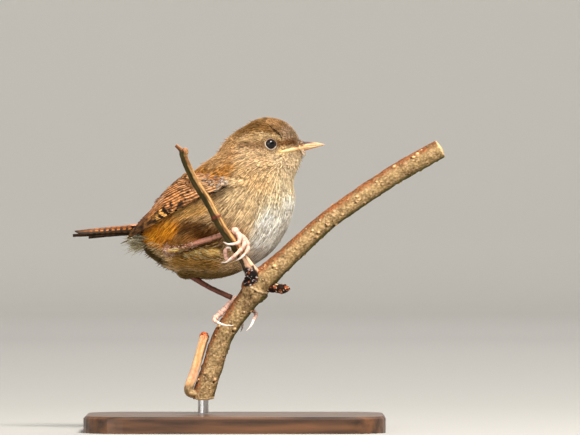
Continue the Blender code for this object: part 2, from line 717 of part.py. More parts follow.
def branch(name, home, grow=0.0):
    """The branch with the knot where the twig leaves it."""
    made = tube(name, BRANCH, home, 2, 4, grow)
    pieces = collection(name + "_pieces", hidden=True)
    centre, radii = KNOT
    ball(name + "_knot", centre, [radius + grow for radius in radii], pieces, 20, 12)
    join(made, pieces)
    return made


def make_perch(bird, cutters):
    """The branch with its twig, bud and dead side shoot, and the feet cut clear of what they grip."""
    branch("perch_branch", bird)
    grown_branch = branch("grown_branch", cutters, CLEAR)
    twig = tube("perch_twig", TWIG, bird, 2, 2)
    pieces = collection("twig_pieces", hidden=True)
    tube("spur", TWIG_SPUR, pieces, 1, 1)
    join(twig, pieces)
    bud = tube("perch_bud", BUD, bird, 2, 2)
    shoot = tube("perch_shoot", SIDE_SHOOT, bird, 2, 2)
    for made in (twig, bud, shoot):
        cut(made, grown_branch)
    cut(bpy.data.objects["foot_right"], tube("grown_twig", TWIG, cutters, 2, 2, CLEAR))
    cut(bpy.data.objects["foot_left"], grown_branch)


def make_stand(stand):
    width, depth, thickness = BASE_SIZE
    bpy.ops.mesh.primitive_cube_add(size=1)
    base = bpy.context.object
    base.name = "stand_base"
    for vertex in base.data.vertices:
        x, y, z = vertex.co
        vertex.co = (x * width * MM, y * depth * MM, (z + 0.5) * thickness * MM)
    shape = bmesh.new()
    shape.from_mesh(base.data)
    upright = [edge for edge in shape.edges if abs(edge.verts[0].co.z - edge.verts[1].co.z) > MM]
    bmesh.ops.bevel(shape, geom=upright, offset=BASE_CORNER * MM, segments=8, profile=0.5, affect="EDGES")
    rim = [edge for edge in shape.edges
           if all(abs(v.co.z - thickness * MM) < 1e-6 for v in edge.verts)]
    bmesh.ops.bevel(shape, geom=rim, offset=BASE_CHAMFER * MM, segments=1, profile=0.5, affect="EDGES")
    shape.to_mesh(base.data)
    shape.free()
    bottom = thickness + GAP
    top = BRANCH[0][2] - GAP
    bpy.ops.mesh.primitive_cylinder_add(
        radius=ROD_RADIUS * MM, depth=(top - bottom) * MM, vertices=24,
        location=(BRANCH[0][0] * MM, BRANCH[0][1] * MM, (top + bottom) / 2 * MM),
    )
    rod = bpy.context.object
    rod.name = "stand_rod"
    for made in (base, rod):
        for old in made.users_collection:
            old.objects.unlink(made)
        stand.objects.link(made)
    return base, rod


def main():
    for old in list(bpy.data.objects):
        bpy.data.objects.remove(old)
    bird = collection("wren")
    cutters = collection("cutters", hidden=True)

    brown = material("warm brown plumage", (0.22, 0.12, 0.055), 0.8)
    buff = material("buff plumage", (0.46, 0.33, 0.19), 0.85)
    rufous = material("barred rufous flight feathers", (0.2, 0.09, 0.035), 0.7)
    horn = material("horn", (0.32, 0.2, 0.1), 0.35)
    dark_eye = material("dark eye", (0.01, 0.008, 0.006), 0.08)
    skin = material("scaled skin", (0.45, 0.27, 0.19), 0.55)
    bark = material("grey brown bark", (0.19, 0.12, 0.06), 0.8)
    straw = material("straw bark", (0.42, 0.27, 0.12), 0.6)
    wood = material("stand wood", (0.05, 0.03, 0.02), 0.4)
    steel = material("stand steel", (0.45, 0.45, 0.45), 0.3, 1.0)

    torso = body("torso", bird)
    cut_away(torso, MANTLE, CHEST, above=True)
    neck = body("neck", bird)
    cut_away(neck, NAPE, CHIN, above=True)
    cut_away(neck, MANTLE, CHEST, above=False)
    make_head(bird, cutters)
    grown = body("grown_trunk", cutters, CLEAR)
    for name, side in (("wing_right", -1), ("wing_left", 1)):
        wing = make_wing(name, side, bird)
        wing.data.materials.append(rufous)
    tail = make_tail(bird, grown)
    make_legs(bird, cutters, grown)
    make_perch(bird, cutters)
    make_stand(bird)

    looks = {
        "torso": buff, "neck": buff, "head": brown, "tail": rufous,
        "bill_upper": horn, "bill_lower": horn, "eye_right": dark_eye, "eye_left": dark_eye,
        "thigh_right": buff, "thigh_left": buff, "tarsus_right": skin, "tarsus_left": skin,
        "foot_right": skin, "foot_left": skin, "perch_branch": bark, "perch_twig": straw,
        "perch_bud": bark, "perch_shoot": straw, "stand_base": wood, "stand_rod": steel,
    }
    for name, look in looks.items():
        mesh = bpy.data.objects[name].data
        mesh.materials.clear()
        mesh.materials.append(look)
        mesh.shade_smooth()
        mesh.set_sharp_from_angle(angle=math.radians(40))


main()
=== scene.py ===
"""The looks of a life-size Eurasian wren on a cut branch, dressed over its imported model.

Sizes are in millimetres, as in the model, and become metres when a mesh is made.
X runs towards the bill as seen from the bird's right side, Y away from that side
and Z up. Colours are given as a screen shows them, from 0 to 255.
"""

import itertools
import math

import bmesh
import bpy
import numpy as np
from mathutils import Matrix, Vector
from mathutils.bvhtree import BVHTree
from mathutils.kdtree import KDTree


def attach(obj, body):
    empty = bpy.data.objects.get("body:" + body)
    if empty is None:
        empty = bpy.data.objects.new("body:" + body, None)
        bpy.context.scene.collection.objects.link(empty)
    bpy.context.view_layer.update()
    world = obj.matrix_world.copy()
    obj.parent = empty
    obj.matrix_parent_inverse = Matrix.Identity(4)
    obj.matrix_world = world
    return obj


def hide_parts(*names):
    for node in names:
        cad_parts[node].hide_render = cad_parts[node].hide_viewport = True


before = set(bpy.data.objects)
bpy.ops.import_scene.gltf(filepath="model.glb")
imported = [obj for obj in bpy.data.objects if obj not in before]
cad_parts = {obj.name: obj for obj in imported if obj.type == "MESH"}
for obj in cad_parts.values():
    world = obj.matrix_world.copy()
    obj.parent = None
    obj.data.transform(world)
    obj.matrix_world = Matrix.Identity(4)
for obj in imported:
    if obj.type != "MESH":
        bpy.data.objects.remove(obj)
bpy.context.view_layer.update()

MM = 0.001

# The bird's shape, with the model's own sizes

TRUNK_TURN = math.radians(20)
TRUNK_DEPTH = 4.0
HEAD_DEPTH = 2.0
FACE_TAPER = 0.26
HEIGHT, MIDDLE, HALF_LENGTH, HALF_WIDTH, HEAD_SHARE = range(5)
BODY_SLICES = (
    (94.2, 9.9, 0.0, 0.0, 1.0),  # crown
    (93.75, 9.9, 2.7, 3.0, 1.0),
    (93.0, 10.05, 4.7, 4.9, 1.0),
    (91.8, 10.0, 6.5, 6.4, 1.0),
    (90.0, 9.3, 8.8, 7.6, 1.0),
    (87.9, 8.6, 10.7, 8.3, 1.0),  # eyes
    (85.5, 8.1, 12.0, 8.7, 1.0),  # bill
    (83.1, 7.35, 12.9, 9.0, 1.0),
    (80.7, 5.4, 14.2, 9.8, 0.82),  # throat
    (77.7, 2.9, 15.7, 11.2, 0.35),
    (74.1, 0.5, 17.4, 12.6, 0.0),  # shoulders
    (69.9, -1.3, 20.0, 13.5, 0.0),
    (65.7, -3.4, 21.6, 13.7, 0.0),
    (61.5, -5.4, 22.3, 13.4, 0.0),  # root of the tail
    (57.3, -7.2, 21.8, 12.4, 0.0),
    (53.7, -8.1, 19.9, 10.8, 0.0),
    (50.7, -8.3, 16.0, 8.8, 0.0),
    (48.3, -8.5, 11.5, 6.2, 0.0),
    (46.5, -8.3, 6.7, 3.6, 0.0),
    (45.45, -8.4, 0.0, 0.0, 0.0),  # belly
)
EYE = (10.8, 86.05)
EYE_RADIUS = 1.85
EYE_SUNK = 0.95

BILL_TIP = (27.0, 85.85)
BILL_ROOT = (17.2, 84.55)
BILL_HALF_WIDTH = 2.0
CULMEN_RISE = 1.75
JAW_DEPTH = 1.3
MOUTH_GAP = 0.06
NOSTRIL = (20.5, 86.15)

WING_FLARE_TOP = 66.0
WING_FLARE_DEPTH = 9.0
WING_FLARE = 7.0
WING_LOWER_EDGE = ((0.6, 74.4), (-6.9, 70.8), (-15.0, 66.9), (-21.9, 63.4), (-26.7, 59.3))
WING_TIP = (-32.1, 57.0)
WING_UPPER_EDGE = ((76.9, 125.0), (75.4, 150.0), (71.5, 170.0), (66.5, 173.0), (61.5, 167.0))

TAIL_ROOT = (-22.0, 61.2)
TAIL_LENGTH = 28.4
TAIL_DROP = math.radians(3.4)

RIGHT_SHANK = (
    (-20.9, -0.6, 54.1, 1.05),
    (-18.4, -3.6, 54.6, 0.85),
    (-8.5, -8.9, 57.4, 0.75),
    (-3.2, -9.4, 59.1, 0.75),
    (-1.2, -9.6, 59.7, 0.8),
)
LEFT_SHANK = ((-14.0, 6.9, 46.9, 0.95), (-8.0, 5.2, 43.2, 0.75), (-1.1, 2.9, 40.0, 0.8))
RIGHT_THIGH = (
    (-5.6, -6.0, 61.2, 0.9),
    (-7.2, -6.1, 60.8, 2.4),
    (-10.5, -5.4, 59.6, 3.4),
    (-14.6, -3.9, 57.6, 3.3),
    (-17.8, -2.4, 55.8, 2.4),
    (-20.2, -1.1, 54.5, 1.3),
)
LEFT_THIGH = ((-14.4, 6.9, 47.5), (3.3, 2.5, 2.1))  # centre and radii
RIGHT_SOLE = (0.1, -10.9, 60.0)
LEFT_SOLE = (0.3, 2.5, 39.4)
RIGHT_TOES = (
    ((0.4, -11.3, 59.8, 0.7), (1.4, -12.2, 58.3, 0.62), (1.2, -12.7, 56.6, 0.58), (0.0, -12.9, 56.2, 0.4),
     (-2.0, -12.6, 56.1, 0.3), (-3.4, -12.0, 56.8, 0.1)),
    ((0.5, -10.8, 59.8, 0.75), (2.6, -11.2, 57.7, 0.66), (2.7, -11.9, 55.6, 0.62), (0.6, -12.5, 53.2, 0.55),
     (-1.0, -12.2, 51.9, 0.42), (-2.4, -11.4, 50.8, 0.28), (-4.0, -10.6, 50.6, 0.1)),
    ((0.5, -10.4, 59.6, 0.7), (3.3, -10.1, 57.4, 0.62), (4.0, -10.6, 54.9, 0.56), (2.9, -11.2, 53.0, 0.42),
     (1.5, -11.3, 51.8, 0.3), (0.0, -10.8, 51.0, 0.1)),
    ((0.2, -10.1, 59.6, 0.7), (1.0, -8.1, 57.0, 0.62), (1.0, -7.5, 54.2, 0.6), (-0.9, -7.9, 51.9, 0.62),
     (-2.4, -9.2, 51.9, 0.62), (-2.8, -10.4, 54.0, 0.6), (-2.4, -10.9, 55.0, 0.42), (-1.4, -11.3, 55.1, 0.3),
     (-1.1, -11.5, 54.1, 0.1)),
)
LEFT_TOES = (
    ((0.1, 2.6, 39.4, 0.75), (-1.6, 1.6, 38.3, 0.75), (-3.4, 0.2, 36.2, 0.85), (-5.2, -1.2, 34.6, 0.88),
     (-6.2, -2.6, 33.4, 0.68), (-5.2, -4.0, 32.6, 0.42), (-3.0, -4.9, 31.8, 0.3), (-0.4, -4.9, 31.7, 0.1)),
    ((0.4, 2.9, 39.3, 0.7), (2.6, 3.9, 37.6, 0.6), (5.4, 2.7, 36.1, 0.6), (6.3, 0.0, 34.9, 0.55),
     (5.6, -2.1, 33.4, 0.45), (4.8, -3.5, 31.6, 0.35), (3.4, -4.0, 30.0, 0.1)),
    ((0.4, 2.9, 39.4, 0.7), (2.6, 3.7, 40.4, 0.6), (5.0, 3.2, 40.3, 0.55), (6.4, 1.9, 39.5, 0.42),
     (6.7, 0.9, 38.5, 0.3), (6.3, 0.3, 37.5, 0.1)),
    ((0.3, 2.9, 39.2, 0.7), (0.8, 4.3, 36.6, 0.6), (1.6, 4.4, 34.4, 0.55), (2.2, 3.7, 32.6, 0.4),
     (2.2, 2.9, 31.0, 0.3), (1.7, 2.2, 29.8, 0.1)),
)

BRANCH = (
    (-9.55, 2.0, 9.6, 3.25),
    (-9.55, 2.0, 10.2, 3.25),
    (-9.5, 2.0, 10.8, 3.25),
    (-8.85, 1.8, 12.9, 3.3),
    (-6.7, 1.2, 19.5, 3.2),
    (-4.1, 0.4, 27.5, 3.2),
    (-1.2, -0.2, 32.5, 3.2),
    (2.0, -0.9, 37.0, 3.3),
    (4.4, -1.9, 40.2, 3.45),
    (7.4, -3.4, 44.4, 4.0),
    (11.2, -4.6, 48.1, 3.5),
    (16.1, -5.2, 52.6, 3.2),
    (25.9, -5.8, 61.6, 3.0),
    (32.0, -6.0, 66.3, 2.95),
    (47.8, -6.4, 76.9, 3.05),
    (61.5, -6.8, 84.6, 3.0),
)
KNOT = ((6.2, -3.0, 42.9), (4.3, 4.4, 4.7))
TWIG = (
    (7.0, -3.2, 43.6, 1.9),
    (5.3, -5.2, 47.2, 2.2),
    (4.3, -6.3, 48.9, 1.9),
    (3.0, -7.9, 51.2, 1.5),
    (0.9, -9.9, 54.5, 1.45),
    (-2.8, -12.2, 59.5, 1.45),
    (-5.1, -13.6, 63.6, 1.45),
    (-5.5, -13.8, 64.2, 1.75),
    (-5.9, -14.0, 64.9, 1.4),
    (-8.2, -14.9, 69.4, 1.35),
    (-11.7, -16.8, 74.6, 1.3),
    (-14.2, -18.2, 80.0, 1.15),
    (-15.1, -18.8, 82.6, 1.15),
    (-15.0, -18.9, 83.6, 1.4),
    (-15.4, -19.1, 84.4, 0.9),
)
TWIG_SPUR = ((-15.2, -18.9, 83.4, 0.7), (-16.4, -19.2, 84.6, 0.55), (-17.4, -19.4, 85.5, 0.4))
BUD = ((9.0, -4.4, 43.8, 1.7), (13.0, -5.2, 42.8, 1.6), (15.2, -5.7, 42.7, 1.35), (16.4, -6.0, 42.7, 0.7))
SIDE_SHOOT = (
    (-8.6, 1.6, 11.0, 1.3),
    (-12.6, 0.8, 11.2, 1.35),
    (-13.9, 0.4, 12.6, 1.4),
    (-12.4, 0.1, 17.2, 1.4),
    (-10.5, -0.2, 23.5, 1.4),
    (-9.3, -0.5, 28.0, 1.4),
    (-9.1, -0.6, 28.9, 1.1),
    (-8.9, -0.6, 29.6, 0.6),
)


def linear(colour):
    """A screen colour, or rows of them, as the light that it stands for."""
    share = np.array(colour, float) / 255
    return np.where(share < 0.04045, share / 12.92, ((share + 0.055) / 1.055) ** 2.4)


def layered(tint, *layers):
    """A colour under layers, each a colour and its share at every point.

    A colour is a screen colour or rows of light."""
    tint = light_of(tint)
    for colour, share in layers:
        share = np.reshape(share, (-1, 1))
        tint = tint * (1 - share) + light_of(colour) * share
    return tint


def light_of(colour):
    return linear(colour) if isinstance(colour, tuple) else colour


def rows_of(*columns):
    """Rows of values, from columns that may be plain numbers."""
    return np.stack(np.broadcast_arrays(*columns), axis=1)


def unit(vectors):
    return vectors / np.maximum(np.linalg.norm(vectors, axis=-1, keepdims=True), 1e-9)


def laid(way, normal):
    """Ways turned to lie along a surface."""
    return unit(way - normal * np.sum(way * normal, axis=1, keepdims=True))


def soft(share):
    """An S-curve from 0 to 1."""
    share = np.clip(share, 0, 1)
    return share * share * (3 - 2 * share)


def bell(distance, width):
    return np.exp(-(distance / width) ** 2)


def circle(sides):
    """Angles spread evenly round a circle."""
    return np.arange(sides) * 2 * math.pi / sides


def noise(points, size, seed=0):
    """Smooth noise from -1 to 1 with bumps about size across."""
    cell = np.asarray(points, float) / size
    base = np.floor(cell)
    part = soft(cell - base)
    total = np.zeros(len(cell))
    for corner in itertools.product((0, 1), repeat=3):
        at = base + corner
        value = np.sin(at @ (127.1, 311.7, 74.7) + seed * 19.19) * 43758.5453
        weight = np.prod(np.where(corner, part, 1 - part), axis=1)
        total += (2 * (value - np.floor(value)) - 1) * weight
    return total


def rough(points, *layers):
    """Noise in layers, each with its size, seed and weight."""
    return sum(weight * noise(points, size, seed) for size, seed, weight in layers)


def speckles(points, level, width, *layers):
    """Uneven spots, from 0 to 1, where layers of noise rise past a level."""
    return soft((rough(points, *layers) - level) / width)


def spline(rows, steps):
    found = []
    for before, start, end, after in zip(rows, rows[1:], rows[2:], rows[3:]):
        for share in np.arange(steps) / steps:
            found.append(
                0.5 * (2 * start + (end - before) * share
                       + (2 * before - 5 * start + 4 * end - after) * share ** 2
                       + (3 * start - before - 3 * end + after) * share ** 3)
            )
    found.append(rows[-2])
    return np.array(found)


def open_curve(points, steps):
    points = np.array(points, float)
    ends = [2 * points[0] - points[1]], [2 * points[-1] - points[-2]]
    return spline(np.vstack([ends[0], points, ends[1]]), steps)


def body_rows(steps):
    rows = np.array(BODY_SLICES)
    across = np.array((1, 1, -1, -1, 1))
    return spline(np.vstack([rows[1] * across, rows, rows[-2] * across]), steps)


BODY_CURVE = body_rows(24)[::-1]


def slice_at(height):
    return [np.interp(height, BODY_CURVE[:, HEIGHT], BODY_CURVE[:, column])
            for column in (MIDDLE, HALF_LENGTH, HALF_WIDTH, HEAD_SHARE)]


def slice_depth(middle, head):
    return (TRUNK_DEPTH - math.tan(TRUNK_TURN) * middle) * (1 - head) + HEAD_DEPTH * head


def on_slice(height, angle, middle, length, width, head):
    """The point of a slice at an angle from its front, positive on the bird's left."""
    turn = TRUNK_TURN * (1 - head)
    forward = length * np.cos(angle)
    left = width * np.sin(angle) * (1 - FACE_TAPER * head * np.cos(angle))
    x = middle + forward * np.cos(turn) + left * np.sin(turn)
    y = slice_depth(middle, head) - forward * np.sin(turn) + left * np.cos(turn)
    return np.stack([x, y, height + 0 * x], axis=-1)


def around(points):
    """The height and the signed angle of the slice that each point lies on."""
    height = np.clip(points[:, 2], BODY_CURVE[0, HEIGHT] + 0.05, BODY_CURVE[-1, HEIGHT] - 0.05)
    middle, length, width, head = slice_at(height)
    turn = TRUNK_TURN * (1 - head)
    ahead = points[:, 0] - middle
    aside = points[:, 1] - slice_depth(middle, head)
    forward = (ahead * np.cos(turn) - aside * np.sin(turn)) / length
    left = (ahead * np.sin(turn) + aside * np.cos(turn)) / width
    angle = np.arctan2(left, forward)
    for _ in range(3):
        angle = np.arctan2(left / (1 - FACE_TAPER * head * np.cos(angle)), forward)
    return height, angle


def seen(points):
    """Where each point, or its mirror on the bird's right, shows from that side, and its angle."""
    height, angle = around(points)
    return on_slice(height, -np.abs(angle), *slice_at(height))[:, 0], points[:, 2], np.abs(angle)


# Meshes

def fill(rows, field, values, kind=np.float32):
    rows.foreach_set(field, np.ascontiguousarray(values, kind).ravel())


def read(rows, field, kind=np.float32):
    found = np.empty(len(rows) * 3, kind)
    rows.foreach_get(field, found)
    return found.reshape(-1, 3)


def placed(name, data):
    made = bpy.data.objects.new(name, data)
    bpy.context.scene.collection.objects.link(made)
    return made


class Heap:
    """Points and faces gathered from many small shapes into one piece."""

    def __init__(self):
        self.points, self.faces, self.tints, self.marks, self.maps = [], [], [], [], []
        self.count = 0

    def add(self, points, faces, tint=(1, 1, 1), mark=None, places=None):
        total = len(points)
        self.points.append(np.asarray(points, float))
        self.faces += [np.asarray(some) + self.count for some in faces]
        self.tints.append(np.broadcast_to(tint, (total, 3)))
        self.marks.append(np.zeros((total, 3)) if mark is None else mark)
        self.maps.append(np.zeros((total, 2)) if places is None else places)
        self.count += total

    def make(self, name, material, slot, nodes=(), mapped=True):
        points, tint, marks = [np.vstack(some) for some in (self.points, self.tints, self.marks)]
        sizes = np.concatenate([np.full(len(some), some.shape[1]) for some in self.faces])
        corners = np.concatenate([some.ravel() for some in self.faces])
        mesh = bpy.data.meshes.new(name)
        mesh.vertices.add(len(points))
        mesh.loops.add(len(corners))
        mesh.polygons.add(len(sizes))
        fill(mesh.vertices, "co", points * MM)
        fill(mesh.loops, "vertex_index", corners, np.int32)
        fill(mesh.polygons, "loop_start", np.cumsum(sizes) - sizes, np.int32)
        mesh.update(calc_edges=True)
        mesh.shade_smooth()
        colours = np.hstack([np.clip(tint, 0, 1), np.ones((len(points), 1))])
        fill(mesh.attributes.new("tint", "FLOAT_COLOR", "POINT").data, "color", colours)
        fill(mesh.attributes.new("mark", "FLOAT_VECTOR", "POINT").data, "vector", marks)
        if mapped:
            fill(mesh.uv_layers.new(name="OFBake").data, "uv", np.vstack(self.maps)[corners])
        mesh.materials.append(material)
        made = placed(name, mesh)
        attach(made, "root")
        if nodes:
            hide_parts(*nodes)
        return made


def single(name, look, slot, nodes, *shape):
    """A piece of one shape: its points, faces and colours."""
    heap = Heap()
    heap.add(*shape)
    return heap.make(name, look, slot, nodes, False)


def mend(made, merged=True, outward=False):
    """Joins points that lie together, such as at a ball's poles, and turns the faces outwards."""
    shape = bmesh.new()
    shape.from_mesh(made.data)
    if merged:
        bmesh.ops.remove_doubles(shape, verts=shape.verts, dist=1e-7)
    if outward:
        bmesh.ops.recalc_face_normals(shape, faces=shape.faces)
    shape.to_mesh(made.data)
    shape.free()


def grid_faces(rows, columns, closed=False):
    """Quads of a grid of points, its columns joined into a ring if closed."""
    i, j = np.meshgrid(np.arange(rows - 1), np.arange(columns if closed else columns - 1), indexing="ij")
    beside = (j + 1) % columns
    faces = np.stack([i * columns + j, i * columns + beside,
                      (i + 1) * columns + beside, (i + 1) * columns + j], axis=-1)
    return faces.reshape(-1, 4)


def end_caps(rings, sides):
    """Triangles from the first and last ring of a grid to the two points that follow it."""
    side = np.arange(sides)
    beside = (side + 1) % sides
    last = rings * sides
    start = last - sides
    return np.vstack([rows_of(last, beside, side), rows_of(last + 1, start + side, start + beside)])


def slab_faces(rows, columns):
    """The faces of a closed sheet: one grid, another of the same size under it, and the rim between."""
    top = grid_faces(rows, columns)
    under = rows * columns
    right = columns - 1
    rim = np.array([*range(right), *[i * columns + right for i in range(rows - 1)],
                    *[(rows - 1) * columns + j for j in range(right, 0, -1)],
                    *[i * columns for i in range(rows - 1, 0, -1)]])
    after = np.roll(rim, -1)
    return [top, top[:, ::-1] + under, rows_of(rim, rim + under, after + under, after)]


def sweep(rows, sides, steps=6, shape=None):
    """A closed tube. shape gives each point's radius from (length along, angle, radius).

    It returns points, faces, and each point's length along, angle and outward direction."""
    rows = open_curve(rows, steps)
    centres, radii = rows[:, :3], rows[:, 3]
    ahead = unit(np.gradient(centres, axis=0))
    side = np.cross(ahead[0], (0.0, 1.0, 0.0))
    if np.linalg.norm(side) < 0.1:
        side = np.cross(ahead[0], (1.0, 0.0, 0.0))
    across = []
    for direction in ahead:
        side = side - direction * side.dot(direction)
        side = side / np.linalg.norm(side)
        across.append(side)
    across = np.array(across)
    up = np.cross(ahead, across)
    length = np.concatenate([[0], np.cumsum(np.linalg.norm(np.diff(centres, axis=0), axis=1))])
    angle = circle(sides)
    outward = across[:, None] * np.cos(angle)[None, :, None] + up[:, None] * np.sin(angle)[None, :, None]
    outward = outward.reshape(-1, 3)
    along, turned, radius = np.repeat(length, sides), np.tile(angle, len(rows)), np.repeat(radii, sides)
    if shape is not None:
        radius = shape(along, turned, radius)
    points = np.repeat(centres, sides, axis=0) + outward * radius[:, None]
    ends = [centres[0] - ahead[0] * radii[0] * 0.2, centres[-1] + ahead[-1] * radii[-1] * 0.2]
    faces = [grid_faces(len(rows), sides, closed=True), end_caps(len(rows), sides)]
    return (np.vstack([points, ends]), faces, np.append(along, (0, length[-1])), np.append(turned, (0, 0)),
            np.vstack([outward, -ahead[0], ahead[-1]]))


def unrolled(along, turned, radius):
    """Places in a straight rod, for noise that runs along a tube as grain does."""
    return rows_of(along, radius * np.cos(turned), radius * np.sin(turned))


def sphere(rings, sides):
    """The points of a unit ball with its poles up and down, and its faces."""
    tilt, turn = np.repeat(np.linspace(0, math.pi, rings), sides), np.tile(circle(sides), rings)
    points = rows_of(np.sin(tilt) * np.cos(turn), np.sin(tilt) * np.sin(turn), np.cos(tilt))
    return points, [grid_faces(rings, sides, closed=True)[:, ::-1]]


def mesh_arrays(made):
    """The points in millimetres, triangles and normals of an object's evaluated mesh."""
    evaluated = made.evaluated_get(bpy.context.evaluated_depsgraph_get())
    mesh = evaluated.to_mesh()
    mesh.calc_loop_triangles()
    points, normals = [read(mesh.vertices, field).astype(float) for field in ("co", "normal")]
    faces = read(mesh.loop_triangles, "vertices", np.int32)
    evaluated.to_mesh_clear()
    return points / MM, faces, normals


def tree_of(points, faces):
    return BVHTree.FromPolygons([tuple(point) for point in points], faces.tolist())


# Materials

def principled(name, roughness, specular=0.3, **values):
    """A material and its nodes."""
    made = bpy.data.materials.new(name)
    made.use_nodes = True
    inputs = made.node_tree.nodes["Principled BSDF"].inputs
    for socket, value in {"Roughness": roughness, "Specular IOR Level": specular, **values}.items():
        inputs[socket.replace("_", " ")].default_value = value
    return made, made.node_tree


def join(tree, source, socket="Base Color"):
    """Links a node's output to the material's shader."""
    tree.links.new(source, tree.nodes["Principled BSDF"].inputs[socket])


def node(tree, kind, inputs, output=0, **settings):
    """One output of a new node, its settings made and its inputs set or linked."""
    made = tree.nodes.new("ShaderNode" + kind)
    for key, value in settings.items():
        setattr(made, key, value)
    for key, value in inputs.items():
        if isinstance(value, bpy.types.NodeSocket):
            tree.links.new(value, made.inputs[key])
        else:
            made.inputs[key].default_value = value
    return made.outputs[output]


def maths(tree, operation, *values):
    return node(tree, "Math", dict(enumerate(values)), operation=operation)


def attribute(tree, name, output="Color"):
    return node(tree, "Attribute", {}, output, attribute_name=name)


def grain(tree, scale, detail=3.0, stretch=(1, 1, 1)):
    """Noise over the object's own coordinates, per metre."""
    where = node(tree, "TexCoord", {}, "Object")
    spread = node(tree, "Mapping", {"Vector": where, "Scale": stretch})
    return node(tree, "TexNoise", {"Vector": spread, "Scale": scale, "Detail": detail})


def bump(tree, height, depth):
    join(tree, node(tree, "Bump", {"Height": height, "Distance": depth * MM, "Strength": 1.0}, 0), "Normal")


def ramp(tree, value, *stops):
    """A scale of screen colours over a value. A stop has its position and colour."""
    found = node(tree, "ValToRGB", {0: value})
    elements = found.node.color_ramp.elements
    for position, colour in stops[1:-1]:
        elements.new(position)
    for element, (position, colour) in zip(elements, stops):
        element.position, element.color = position, (*linear(colour), 1)
    return found


def mottled(tree, colour, fine, low, high):
    """Gives the shader a colour that fine noise makes darker and lighter."""
    limits = {"From Min": 0.3, "From Max": 0.7, "To Min": low, "To Max": high}
    factor = node(tree, "MapRange", {"Value": fine, **limits})
    join(tree, node(tree, "VectorMath", {0: colour, "Scale": factor}, operation="SCALE"))


def tinted(name, roughness, scale, amount, depth=0.0, specular=0.3):
    """A material that shows each point's own tint, varied by fine noise."""
    made, tree = principled(name, roughness, specular)
    fine = grain(tree, scale)
    mottled(tree, attribute(tree, "tint"), fine, 1 - amount, 1 + amount)
    if depth:
        bump(tree, fine, depth)
    return made


def barred(name, dark):
    """Flight feathers: the point's tint, crossed by dark bars.

    The point's mark counts the bars and says how strong they are."""
    made, tree = principled(name, 0.6, 0.12)
    count, _, strength = node(tree, "SeparateXYZ", {0: attribute(tree, "mark", "Vector")}).node.outputs
    shift = maths(tree, "MULTIPLY_ADD", grain(tree, 800, 2.0), 0.7, count)
    wave = maths(tree, "SINE", maths(tree, "MULTIPLY", shift, 2 * math.pi))
    limits = {"From Min": -0.05, "From Max": 0.45}
    bar = node(tree, "MapRange", {"Value": wave, **limits}, interpolation_type="SMOOTHSTEP")
    share = maths(tree, "MULTIPLY", bar, strength)
    colours = {6: attribute(tree, "tint"), 7: (*linear(dark), 1)}
    mixed = node(tree, "Mix", {"Factor": share, **colours}, 2, data_type="RGBA")
    mottled(tree, mixed, grain(tree, 2600, 2.0), 0.8, 1.18)
    return made


COAT_LOOK = tinted("body feathers", 0.85, 900, 0.14, specular=0.06)
SKIN_LOOK = tinted("skin under the feathers", 0.9, 900, 0.2, 0.15, 0.05)
VANE_LOOK = barred("barred flight feathers", (30, 18, 9))
HORN_LOOK = tinted("horn of the bill", 0.5, 1500, 0.14, 0.03, 0.2)
CLAW_LOOK = tinted("claws", 0.35, 1500, 0.06, 0.0, 0.4)
SCALE_LOOK = tinted("scaled leg skin", 0.55, 1800, 0.22, 0.06, 0.2)
LID_LOOK = tinted("eyelid skin", 0.6, 2500, 0.12, 0.04, 0.2)
BARK_LOOK = tinted("grey brown bark", 0.85, 1500, 0.42, 0.2, 0.1)
STRAW_LOOK = tinted("straw bark", 0.6, 900, 0.16, 0.06, 0.2)

# The coat

